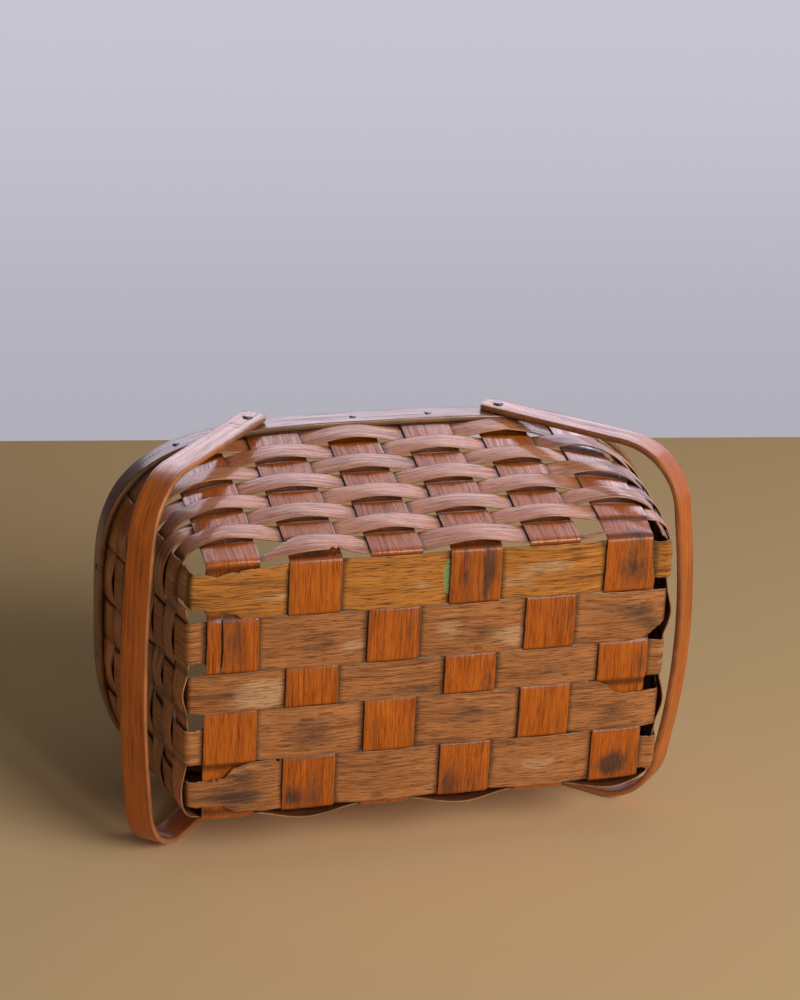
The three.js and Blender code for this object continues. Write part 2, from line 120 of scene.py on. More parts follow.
class WeaveSizes(bpy.types.PropertyGroup):
    thickness: length("Splint thickness", "Thickness of the splints", 0.00125)
    stake: length("Stake width", "Width of the wide splints", 0.0395)
    middle: length("Middle row width", "Width of the middle lengthwise splint", 0.029)
    lace: length("Lace", "How far a splint steps over or under another", 0.00085)
    rows_gap: length("Row gap", "Gap between the places of the lengthwise splints", 0.0022)
    row_extra: length("Row extra", "How much wider a row is cut than its place", 0.0023)
    row_arch: length("Row arch", "How far a row bulges over a cross splint", 0.0008)
    side_room: length("Side room", "Base beyond the outer row", 0.0034)
    end_room: length("End room", "Base beyond the outer cross splint", 0.012)
    over_arch: length("Weaver arch", "How far a weaver bulges over a stake", 0.0043)
    grip_arch: length("Right arch", "The same on the end that the right grip lies against", 0.0024)
    end_arch: length("Left arch", "The same on the left end", 0.0012)
    under_arch: length("Weaver sag", "How far a weaver sags under a stake", 0.0018)
    tilt: length("Weaver tilt", "How far a weaver's lower edge stands out over a stake", 0.0008)
    course_gap: length("Weaver gap", "Gap between two weavers", 0.0004)
    start: length("Weaver start", "Height of the first weaver over the base", 0.0006)
    bend: length("Bend", "Radius of the bend from the base into the wall", 0.0036)
    cup: length("Cup", "How far the middle of a splint stands over its edges", 0.0003)
    sway: length("Sway", "How far a splint's edges wander", 0.0004)


class RimSizes(bpy.types.PropertyGroup):
    height: length("Height", "Height of the basket", 0.169)
    long: length("Rim length", "Length over the outer hoop", 0.443)
    wide: length("Rim width", "Width over the outer hoop", 0.295)
    flare: length("Flare", "How far each end wall leans out", 0.03425)
    outer: length("Outer hoop", "Thickness of the outer hoop", 0.0045)
    inner: length("Inner hoop", "Thickness of the inner hoop", 0.0035)
    hoop: length("Hoop height", "Height of the hoops", 0.022)
    inset: length("Stake inset", "How far the stakes end under the hoops' tops", 0.0015)
    scarf: length("Scarf", "Length over which a hoop's ends overlap", 0.0995)
    tip: length("Scarf tip", "Thickness of a hoop's tip", 0.0008)
    gap: length("Gap", "Gap between pieces that touch", 0.0003)
    nail_head: length("Nail head", "Radius of a rim nail's head", 0.0026)
    nail_first: length("First nail", "Place of the nail in the first stake from its middle", -0.009)
    nail_middle: length("Middle nails", "The same in the two middle stakes", 0.006)
    nail_last: length("Last nail", "The same in the last stake", 0.012)


class HandleSizes(bpy.types.PropertyGroup):
    left_pivot: length("Left pivot", "Distance of the left rivets from the middle", 0.106)
    right_pivot: length("Right pivot", "Distance of the right rivets from the middle", 0.093)
    reach: length("Reach", "Length of a handle from its pivots to its grip", 0.165)
    bow: length("Bow", "How far the middle of the grip bows out", 0.009)
    width: length("Width", "Width of the handle strip", 0.0215)
    thickness: length("Thickness", "Thickness of the handle strip", 0.0048)
    corner: length("Corner radius", "Radius of a handle's two bends", 0.052)
    end: length("Leg end", "Length of a leg beyond its pivot", 0.0115)
    head: length("Rivet head", "Radius of a rivet's head", 0.004)
    shank: length("Rivet shank", "Radius of a rivet's shank", 0.002)


class Wear(bpy.types.PropertyGroup):
    seed: IntProperty(name="Seed", description="Seed of the edges and the grain", default=11)
    polish: share("Polish", "How much varnish is left", 0.8)
    # This also sets how dark the painted shade is where a splint goes under another.
    dirt_and_shade: share("Dirt", "Darkness of the stains", 0.85)
    ragged: length("Ragged edges", "Depth of the teeth along a tear", 0.0022)


class Colours(bpy.types.PropertyGroup):
    varnish: colour("Varnish", "Orange-brown varnish of the cross splints", (0.52, 0.120, 0.004))
    deep: colour("Deep varnish", "Darkest varnish in their grain", (0.23, 0.040, 0.002))
    gold: colour("Golden row", "Varnish of the first row", (0.55, 0.205, 0.028))
    tan: colour("Worn row", "Thin varnish of the other rows", (0.48, 0.182, 0.052))
    bare: colour("Bare wood", "Wood where the varnish is worn off", (0.66, 0.40, 0.20))
    band: colour("Weavers", "Brown varnish of the weavers", (0.64, 0.225, 0.080))
    hoop: colour("Hoops", "Varnish of the hoops", (0.26, 0.080, 0.026))
    handle: colour("Handles", "Varnish of the handles", (0.50, 0.120, 0.010))
    stain: colour("Stain", "Colour of the stains", (0.040, 0.028, 0.024))
    paint: colour("Paint", "Colour of the fleck of old paint on the first row", (0.20, 0.33, 0.11))
    steel: colour("Steel", "Colour of the nails and rivets", (0.20, 0.23, 0.27))


class Stage(bpy.types.PropertyGroup):
    floor: colour("Floor", "Colour of the floor", (0.82, 0.57, 0.31))
    wall: colour("Wall", "Colour of the backdrop", (0.44, 0.43, 0.49))
    # The sheen is a painted reflection: the backdrop glows in this colour only where the varnish
    # mirrors it.
    sheen: colour("Sheen", "Colour of the backdrop in the varnish", (0.90, 0.82, 1.0))
    front: power("Front lamp", "Power of the lamp before the basket", 115)
    back: power("Window", "Power of the window behind it, which shines in the varnish", 8.7)
    top: power("Top lamp", "Power of the lamp overhead", 2)
    room: power("Room", "Light of the room", 0.09)


def settings(name):
    """One of the scene's groups of sizes and colours."""
    return getattr(bpy.context.scene, "basket_" + name)


# The basket's own frame: its base on z = 0, its length along x


def basket_frame():
    """The basket's axes and the middle of its base as it lies, from the left handle's hinge."""
    rim = settings("rim")
    joint = frame["joints"][0]
    across = np.array(joint["axis"])
    upwards = np.cross([1, 0, 0], across)
    origin = np.array(joint["pos_m"]) - upwards * (rim.height - rim.hoop / 2)
    origin[0] += settings("handle").left_pivot
    return np.array([[1, 0, 0], across, upwards]), origin


def laid(points):
    """Points of the basket's own frame, turned and moved to where it lies on its side."""
    axes, origin = basket_frame()
    return np.asarray(points, float) @ axes + origin


class Wall:
    """The middle surface of the wall: oblong sections that grow and round off as they rise."""

    def __init__(self):
        weave, rim = settings("weave"), settings("rim")
        inset = rim.outer + rim.gap + HALF_SPLINT
        self.top = rim.height - rim.hoop
        self.low = weave.lace + weave.row_arch + HALF_SPLINT
        self.rim_a, self.rim_b = rim.long / 2 - inset, rim.wide / 2 - inset
        self.base_a = self.rim_a - rim.flare
        pitch = (2 * (self.base_a - weave.end_room) - weave.stake) / (CROSS_STAKES - 1)
        self.cross = [(i - (CROSS_STAKES - 1) / 2) * pitch for i in range(CROSS_STAKES)]
        inner = (weave.middle + weave.stake) / 2 + weave.rows_gap
        outer = inner + weave.rows_gap + weave.stake
        self.rows = [-outer, -inner, 0, inner, outer]
        self.row_widths = [weave.stake] * LONG_STAKES
        self.row_widths[LONG_STAKES // 2] = weave.middle
        self.base_b = outer + weave.stake / 2 + weave.side_room
        start = self.low + BEND_RISE + rim.gap
        step = (self.top - HOOP_ROOM - start) / COURSES
        half_gap = weave.course_gap / 2
        self.courses = [
            (start + k * step + half_gap, start + (k + 1) * step - half_gap) for k in range(COURSES)
        ]
        self.courses[0] = (self.low + weave.start, self.courses[0][1])
        self.last_x = self.base_a - weave.end_room
        self.last_y = self.base_b - weave.side_room

    def section(self, z):
        """Half the length and half the width of the wall at a height, and its exponent."""
        t = np.clip((np.asarray(z, float) - self.low) / (self.top - self.low), 0, 1)
        a = self.base_a + (self.rim_a - self.base_a) * t
        b = self.base_b + (self.rim_b - self.base_b) * t
        return a, b, 1 / (1 / BASE_EXPONENT + (1 / RIM_EXPONENT - 1 / BASE_EXPONENT) * t)

    def side(self, x, side, z):
        """Points of a long side."""
        a, b, n = self.section(z)
        y = side * b * (1 - np.abs(x / a) ** n) ** (1 / n)
        return np.stack(np.broadcast_arrays(x, y, z), -1)

    def end(self, y, side, z):
        """Points of an end."""
        a, b, n = self.section(z)
        x = side * a * (1 - np.abs(y / b) ** n) ** (1 / n)
        return np.stack(np.broadcast_arrays(x, y, z), -1)

    def corner(self, x_side, y_side, part, z):
        """Points of a corner, from the last cross splint (part 0) to the last row (part 1)."""
        a, b, n = self.section(z)
        begin = np.arccos((self.last_x / a) ** (n / 2))
        finish = np.arcsin((self.last_y / b) ** (n / 2))
        angle = begin + (finish - begin) * part
        x = x_side * a * np.cos(angle) ** (2 / n)
        y = y_side * b * np.sin(angle) ** (2 / n)
        return np.stack(np.broadcast_arrays(x, y, z), -1)

    def outward(self, point):
        """The direction in which the rim faces at a point."""
        n = RIM_EXPONENT - 1
        x, y = point[0], point[1]
        slope = np.array(
            [
                math.copysign(abs(x / self.rim_a) ** n / self.rim_a, x),
                math.copysign(abs(y / self.rim_b) ** n / self.rim_b, y),
                0,
            ]
        )
        return slope / np.linalg.norm(slope)


# Curves and uneven edges


def smooth_curve(stops, at):
    """A curve through (place, value) stops that never swings past them."""
    x, y = (np.array(v, float) for v in zip(*stops))
    least_gap = 1e-7
    keep = np.concatenate([[True], np.diff(x) > least_gap])
    x, y = x[keep], y[keep]
    gaps = np.diff(x)
    slopes = np.diff(y) / gaps
    tangents = np.zeros(len(x))
    before, after = slopes[:-1], slopes[1:]
    level = before * after <= 0
    w1, w2 = 2 * gaps[1:] + gaps[:-1], gaps[1:] + 2 * gaps[:-1]
    safe_before, safe_after = np.where(level, 1, before), np.where(level, 1, after)
    tangents[1:-1] = np.where(level, 0, (w1 + w2) / (w1 / safe_before + w2 / safe_after))
    i = np.clip(np.searchsorted(x, at, side="right") - 1, 0, len(gaps) - 1)
    t = np.clip((at - x[i]) / gaps[i], 0, 1)
    h00, h10 = (1 + 2 * t) * (1 - t) ** 2, t * (1 - t) ** 2
    h01, h11 = t * t * (3 - 2 * t), t * t * (t - 1)
    return (
        h00 * y[i] + h10 * gaps[i] * tangents[i] + h01 * y[i + 1] + h11 * gaps[i] * tangents[i + 1]
    )


def wander(at, wavelength, seed):
    """Smooth random values from -1 to 1 along a length."""
    count = 4096
    places = np.asarray(at, float) / wavelength
    low = np.floor(places).astype(int)
    values = np.random.default_rng(seed).uniform(-1, 1, count)
    t = places - low
    t = t * t * (3 - 2 * t)
    return values[low % count] * (1 - t) + values[(low + 1) % count] * t


# Splints as sheets


# A point well inside the basket.
INSIDE = (0, 0, 0.085)


def lengths_along(line):
    """The length of a line up to each of its points."""
    return np.concatenate([[0], np.cumsum(np.linalg.norm(np.diff(line, axis=0), axis=1))])


class Path:
    """The surface that a splint follows before it is laced: points along it and across."""

    def __init__(self, points, across):
        self.points, self.across = points, across
        self.middle = points[:, points.shape[1] // 2]
        self.length = lengths_along(self.middle)
        self.from_middle = self.length - self.length[-1] / 2
        normals = np.cross(np.gradient(points, axis=0), np.gradient(points, axis=1))
        normals /= np.maximum(np.linalg.norm(normals, axis=2, keepdims=True), 1e-12)
        self.turned = np.sum(normals * (points - np.array(INSIDE))) < 0
        self.normals = -normals if self.turned else normals

    def near(self, point):
        """The length along the path at which it passes nearest to a point."""
        return self.length[np.argmin(np.linalg.norm(self.middle - np.asarray(point), axis=1))]


# Places in a rounded edge, and where the even places across a strip begin, in edge radii.
EDGE_LANES = (0, 0.12, 0.4, 0.8)
EVEN_FROM = 1.3

# How far apart in the grain two splints are cut.
CUT_ALONG, CUT_ACROSS = 3.7, 0.37

# A crack: its unevenness, its wavelength, how bluntly it ends, and how far one side is raised.
CRACK_SWAY, CRACK_WAVE, CRACK_END, CRACK_LIFT = 0.0006, 0.011, 0.6, 0.7


def lanes(width, radius, count):
    """Places across a strip, closer together at its two rounded edges."""
    near = radius * np.array(EDGE_LANES)
    inner = np.linspace(EVEN_FROM * radius, width - EVEN_FROM * radius, count)
    return np.concatenate([near, inner, (width - near)[::-1]])


def sheet(
    name, path, offset, radius, seed, edges, thin=None, marks=(), columns=9, closed=False, cup=0.0,
    tilt=None, splits=(), gone=None,
):
    """A mesh of a splint's middle surface. Edges say how far its edges are trimmed in, splits are
    cracks along it, and gone says where it has broken away. Its UV map is in metres, and its named
    values say how far a point is from the splint's edge, how thick the splint is there, how flat
    it lies, how worn, stained and flecked it is, and how far soil and painted shade darken it."""
    width = path.across[-1] - path.across[0]
    lane = lanes(width, radius, columns)
    rows = len(path.length)
    low, high = path.across[0] + edges[0], path.across[-1] - edges[1]
    span = np.maximum(high - low, 1e-4)
    scale = (span / width)[:, None]
    places = low[:, None] + lane[None, :] * scale
    edge = np.minimum(lane, width - lane)[None, :] * scale
    middle = (path.across[0] + path.across[-1]) / 2

    def spread(values):
        return np.repeat(np.asarray(values)[:, None], len(lane), 1)

    lift = spread(offset)
    whole = np.ones((rows if closed else rows - 1, len(lane) - 1), bool)
    for begin, finish, v, gap in splits:
        t = np.clip((path.from_middle - begin) / (finish - begin), 0, 1)
        inside = (t > 0) & (t < 1)
        half = gap / 2 * np.sin(math.pi * t[inside]) ** CRACK_END
        line = middle + v + CRACK_SWAY * wander(path.length[inside], CRACK_WAVE, seed + 9)
        k = int(np.searchsorted(lane - width / 2, v)) - 1
        places[inside, k], places[inside, k + 1] = line - half, line + half
        lift[inside, k + 1] += gap * CRACK_LIFT * np.sin(math.pi * t[inside])
        whole[inside[:len(whole)], k] = False
        edge[inside, k], edge[inside, k + 1] = 0, 0
    if gone is not None:
        whole[(gone | np.roll(gone, -1))[:len(whole)]] = False
    cell = np.clip(np.searchsorted(path.across, places) - 1, 0, len(path.across) - 2)
    left, right = path.across[cell], path.across[cell + 1]
    t = ((places - left) / (right - left))[..., None]
    row = np.arange(rows)[:, None]
    points = path.points[row, cell] * (1 - t) + path.points[row, cell + 1] * t
    normals = path.normals[row, cell] * (1 - t) + path.normals[row, cell + 1] * t
    normals /= np.linalg.norm(normals, axis=2, keepdims=True)
    arch = 1 - ((places - middle) / (width / 2)) ** 2
    lift += cup * (arch - 0.5)
    if tilt is not None:
        lift -= tilt[:, None] * (places - middle) / (width / 2)
    points = points + normals * lift[..., None]
    along = spread(path.from_middle)
    values = {
        "rim": edge,
        "thin": np.ones_like(edge) if thin is None else spread(thin),
        "flat": np.abs(normals[..., 2]),
    }
    values.update({kind: np.zeros_like(edge) for kind in ("worn", "soiled", "stained", "flecked")})
    for kind, s, v, long, wide, strength in marks:
        spot = np.exp(-(((along - s) / long) ** 2) - ((places - middle - v) / wide) ** 2)
        values[kind] = values[kind] + strength * spot
    uv = np.stack([along + CUT_ALONG * seed, places - middle + CUT_ACROSS * seed], -1)
    return grid_mesh(name, laid(points), uv, values, whole, closed, path.turned)


def grid_mesh(name, points, uv, values, whole, closed, turned):
    """A mesh of a grid of points, with a face wherever it is whole."""
    rows, columns = points.shape[:2]
    mesh = bpy.data.meshes.new(name)
    index = np.arange(rows * columns).reshape(rows, columns)
    here, then = (index, np.roll(index, -1, 0)) if closed else (index[:-1], index[1:])
    faces = np.stack([here[:, :-1], here[:, 1:], then[:, 1:], then[:, :-1]], -1).reshape(-1, 4)
    flat_uv = uv.reshape(-1, 2)
    corner_uv = flat_uv[faces]
    if closed:
        step = np.linalg.norm(points[0] - points[-1], axis=1).mean()
        last = faces[:, 2] < faces[:, 1]
        corner_uv[last, 2:, 0] = corner_uv[last, :2, 0][:, ::-1] + step
    if not turned:
        faces, corner_uv = faces[:, ::-1], corner_uv[:, ::-1]
    faces, corner_uv = faces[whole.reshape(-1)], corner_uv[whole.reshape(-1)]
    used, packed = np.unique(faces, return_inverse=True)
    mesh.from_pydata(points.reshape(-1, 3)[used].tolist(), [], packed.reshape(faces.shape).tolist())
    layer = mesh.uv_layers.new(name="UVMap")
    layer.data.foreach_set("uv", corner_uv.reshape(-1).astype(np.float32))
    for key, value in values.items():
        kept = value.reshape(-1)[used].astype(np.float32)
        mesh.attributes.new(key, "FLOAT", "POINT").data.foreach_set("value", kept)
    return mesh


# Node trees


class Signal:
    """One output of a node tree. Arithmetic on it adds Math nodes to the tree."""

    def __init__(self, graph, socket):
        self.graph, self.socket = graph, socket

    def maths(self, operation, *values):
        return self.graph.node("ShaderNodeMath", {"operation": operation}, dict(enumerate(values)))

    def __add__(self, other):
        return self.maths("ADD", self, other)

    def __radd__(self, other):
        return self.maths("ADD", other, self)

    def __sub__(self, other):
        return self.maths("SUBTRACT", self, other)

    def __rsub__(self, other):
        return self.maths("SUBTRACT", other, self)

    def __mul__(self, other):
        return self.maths("MULTIPLY", self, other)

    def __rmul__(self, other):
        return self.maths("MULTIPLY", other, self)

    def __truediv__(self, other):
        return self.maths("DIVIDE", self, other)


class Graph:
    """Adds nodes to a tree of either kind."""

    def __init__(self, tree):
        self.tree = tree

    def node(self, kind, choices=None, values=None, output=0):
        """Adds a node, makes its choices, and gives its sockets their values or links."""
        made = self.tree.nodes.new(kind)
        for key, value in (choices or {}).items():
            setattr(made, key, value)
        self.fill(made, values or {})
        return Signal(self, made.outputs[output])

    def fill(self, made, values):
        for key, value in values.items():
            socket = made.inputs[key]
            if isinstance(value, Signal):
                self.tree.links.new(value.socket, socket)
            else:
                socket.default_value = (*value, 1) if socket.type == "RGBA" else value

    def other(self, signal, output):
        """Another output of the same node."""
        return Signal(self, signal.socket.node.outputs[output])

    def blend(self, first, second, factor):
        """Mixes two colours."""
        values = {0: factor, 6: first, 7: second}
        return self.node("ShaderNodeMix", {"data_type": "RGBA"}, values, 2)

    def between(self, value, low, high, first=0.0, second=1.0):
        """Eases from one number to another as a value goes from low to high."""
        values = {0: value, 1: low, 2: high, 3: first, 4: second}
        return self.node("ShaderNodeMapRange", {"interpolation_type": "SMOOTHSTEP"}, values)

    def larger(self, first, second):
        return self.node("ShaderNodeMath", {"operation": "MAXIMUM"}, {0: first, 1: second})

    def scaled(self, vector, factors, shift=(0, 0, 0)):
        values = {0: vector, 1: factors, 2: shift}
        return self.node("ShaderNodeVectorMath", {"operation": "MULTIPLY_ADD"}, values)

    def noise(self, vector, scale, detail=2.0, roughness=0.5):
        values = {"Vector": vector, "Scale": scale, "Detail": detail, "Roughness": roughness}
        return self.node("ShaderNodeTexNoise", {}, values)

    def mixed(self, factor, first, second):
        """Mixes two shaders."""
        return self.node("ShaderNodeMixShader", {}, {0: factor, 1: first, 2: second})


def new_geometry_tree(name, inputs):
    """A tree with a Geometry input and the given ones, as (title, kind, default)."""
    tree = bpy.data.node_groups.new(name, "GeometryNodeTree")
    tree.interface.new_socket("Geometry", in_out="INPUT", socket_type="NodeSocketGeometry")
    for title, kind, default in inputs:
        item = tree.interface.new_socket(title, in_out="INPUT", socket_type=kind)
        if default is not None:
            item.default_value = default
    tree.interface.new_socket("Geometry", in_out="OUTPUT", socket_type="NodeSocketGeometry")
    graph = Graph(tree)
    start = tree.nodes.new("NodeGroupInput")
    sockets = {socket.name: Signal(graph, socket) for socket in start.outputs if socket.name}
    return graph, sockets


def close_tree(graph, geometry, material):
    """Ends a tree with real geometry and its material."""
    real = graph.node("GeometryNodeRealizeInstances", {}, {"Geometry": geometry})
    done = graph.node("GeometryNodeSetMaterial", {}, {"Geometry": real, "Material": material})
    end = graph.tree.nodes.new("NodeGroupOutput")
    graph.tree.links.new(done.socket, end.inputs[0])
    return graph.tree


def named_value(graph, name, kind="FLOAT"):
    return graph.node("GeometryNodeInputNamedAttribute", {"data_type": kind}, {"Name": name})


def stored(graph, geometry, name, value, selection=True):
    return graph.node(
        "GeometryNodeStoreNamedAttribute",
        {"data_type": "FLOAT", "domain": "POINT"},
        {"Geometry": geometry, "Selection": selection, "Name": name, "Value": value},
    )


# The thinnest that a torn edge gets, and how near two points of a strip's faces are welded.
THIN_EDGE = 0.00012
WELD = 1e-6


def thickened_tree():
    """Gives a sheet its thickness, with rounded edges and a slightly uneven lie."""
    name = "Bent strip"
    if name in bpy.data.node_groups:
        return bpy.data.node_groups[name]
    graph, given = new_geometry_tree(
        name,
        [
            ("Thickness", "NodeSocketFloat", 0.00125),
            ("Edge Radius", "NodeSocketFloat", SPLINT_LIE.radius),
            ("Waviness", "NodeSocketFloat", SPLINT_LIE.waviness),
            ("Wave Scale", "NodeSocketFloat", SPLINT_LIE.wave_scale),
            ("Seed", "NodeSocketFloat", 0.0),
            ("Material", "NodeSocketMaterial", None),
        ],
    )
    place = graph.node("GeometryNodeInputPosition")
    noise = graph.node(
        "ShaderNodeTexNoise",
        {"noise_dimensions": "4D"},
        {"Vector": place, "W": given["Seed"], "Scale": given["Wave Scale"], "Detail": 1.0},
    )
    wave = (noise - 0.5) * given["Waviness"] * 2.0
    radius = given["Edge Radius"]
    inside = graph.node("ShaderNodeClamp", {}, {0: named_value(graph, "rim") / radius})
    outside = 1.0 - inside
    arc = graph.node("ShaderNodeMath", {"operation": "SQRT"}, {0: 1.0 - outside * outside})
    full = given["Thickness"] * named_value(graph, "thin")
    thickness = graph.larger(full - radius * 2.0 * (1.0 - arc), THIN_EDGE)
    capture = graph.tree.nodes.new("GeometryNodeCaptureAttribute")
    capture.domain = "POINT"
    for kind, title in (("VECTOR", "Normal"), ("FLOAT", "Thickness"), ("FLOAT", "Wave")):
        capture.capture_items.new(kind, title)
    normal = graph.node("GeometryNodeInputNormal")
    graph.fill(capture, dict(enumerate((given["Geometry"], normal, thickness, wave))))
    lying, facing, thick, waved = (Signal(graph, capture.outputs[k]) for k in range(4))
    # The sheet sinks by half its thickness for the inner face. Its extruded copy is the outer one.
    sink = graph.node(
        "ShaderNodeVectorMath", {"operation": "SCALE"}, {0: facing, "Scale": waved - thick / 2.0}
    )
    lowered = graph.node("GeometryNodeSetPosition", {}, {"Geometry": lying, "Offset": sink})
    lowered = stored(graph, lowered, "inner", 1.0)
    raised = graph.node(
        "GeometryNodeExtrudeMesh",
        {"mode": "FACES"},
        {"Mesh": lowered, "Offset Scale": 0.0, "Individual": False},
    )
    top = graph.other(raised, "Top")
    rise = graph.node("ShaderNodeVectorMath", {"operation": "SCALE"}, {0: facing, "Scale": thick})
    upper = graph.node(
        "GeometryNodeSetPosition", {}, {"Geometry": raised, "Selection": top, "Offset": rise}
    )
    upper = stored(graph, upper, "inner", 0.0, top)
    under = graph.node("GeometryNodeFlipFaces", {}, {"Mesh": lowered})
    joined = graph.node("GeometryNodeJoinGeometry", {}, {0: under})
    graph.tree.links.new(upper.socket, joined.socket.node.inputs[0])
    welded = graph.node("GeometryNodeMergeByDistance", {}, {"Geometry": joined, "Distance": WELD})
    soft = graph.node("GeometryNodeSetShadeSmooth", {}, {"Geometry": welded, "Shade Smooth": True})
    return close_tree(graph, soft, given["Material"])


def pins_tree():
    """Sets a turned pin on each point, with its axis along the point's direction."""
    name = "Pins"
    if name in bpy.data.node_groups:
        return bpy.data.node_groups[name]
    graph, given = new_geometry_tree(
        name, [("Pin", "NodeSocketObject", None), ("Material", "NodeSocketMaterial", None)]
    )
    pin = graph.node("GeometryNodeObjectInfo", {}, {"Object": given["Pin"]}, "Geometry")
    direction = named_value(graph, "direction", "FLOAT_VECTOR")
    upright = graph.node("FunctionNodeAlignRotationToVector", {"axis": "Z"}, {"Vector": direction})
    turn = graph.node(
        "FunctionNodeAxisAngleToRotation",
        {},
        {"Axis": (0, 0, 1), "Angle": named_value(graph, "turn")},
    )
    turned = graph.node(
        "FunctionNodeRotateRotation", {"rotation_space": "LOCAL"}, {0: upright, 1: turn}
    )
    placed = graph.node(
        "GeometryNodeInstanceOnPoints",
        {},
        {"Points": given["Geometry"], "Instance": pin, "Rotation": turned},
    )
    return close_tree(graph, placed, given["Material"])


def linked(name, data):
    """An object in the scene."""
    made = bpy.data.objects.new(name, data)
    bpy.context.scene.collection.objects.link(made)
    return made


def plain_mesh(piece):
    """The mesh of a piece with its modifiers worked in."""
    depsgraph = bpy.context.evaluated_depsgraph_get()
    return bpy.data.meshes.new_from_object(
        piece.evaluated_get(depsgraph), preserve_all_data_layers=True, depsgraph=depsgraph
    )


def evaluated(mesh, name, tree, values):
    """The plain mesh that a tree makes of a mesh."""
    rough = linked(name + "_sheet", mesh)
    modifier = rough.modifiers.new("Shape", "NODES")
    modifier.node_group = tree
    for item in tree.interface.items_tree:
        if item.item_type == "SOCKET" and item.in_out == "INPUT" and item.name in values:
            modifier[item.identifier] = values[item.name]
    made = plain_mesh(rough)
    bpy.data.objects.remove(rough)
    bpy.data.meshes.remove(mesh)
    made.name = name
    return made


def placed_piece(name, mesh, body, nodes):
    """A finished piece on its body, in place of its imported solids."""
    piece = linked(name, mesh)
    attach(piece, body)
    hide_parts(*nodes)
    return piece


def strip_piece(name, mesh, thickness, lie, seed, finish, body, node, bores=None):
    """A strip made of a sheet, bored where it has rivets."""
    values = {
        "Thickness": thickness,
        "Edge Radius": lie.radius,
        "Waviness": lie.waviness,
        "Wave Scale": lie.wave_scale,
        "Seed": float(seed),
        "Material": finish,
    }
    made = evaluated(mesh, name, thickened_tree(), values)
    if bores:
        made = drilled(made, *bores)
    made.set_sharp_from_angle(angle=math.radians(50))
    return placed_piece(name, made, body, [node])


def splint_piece(name, path, offset, seed, edges, finish, slot, node, **shape):
    """A splint that is laced along a path."""
    weave = settings("weave")
    mesh = sheet(name, path, offset, SPLINT_LIE.radius, seed, edges, cup=weave.cup, **shape)
    return strip_piece(
        name, mesh, weave.thickness, SPLINT_LIE, seed, finish_for(finish), "basket", node
    )


# Finishes


def new_finish(name):
    """A material with a bare Principled shader."""
    material = bpy.data.materials.new(name)
    material.use_nodes = True
    tree = material.node_tree
    tree.nodes.clear()
    graph = Graph(tree)
    surface = tree.nodes.new("ShaderNodeBsdfPrincipled")
    out = tree.nodes.new("ShaderNodeOutputMaterial")
    tree.links.new(surface.outputs[0], out.inputs[0])
    return material, graph, surface


def end_shader(graph, shader):
    """Links a shader to the tree's output."""
    output = next(node for node in graph.tree.nodes if node.type.startswith("OUTPUT"))
    graph.tree.links.new(shader.socket, output.inputs[0])


# The varnish, the depth of the fibres under it, and how much of its colour the wood keeps on the
# inner side under the painted shade there.
VARNISH_ROUGHNESS = 0.16
VARNISH_IOR = 1.75
WOOD_IOR = 1.4
FIBRE_DEPTH = 0.0007
INNER_SIDE_SHADE = 0.4


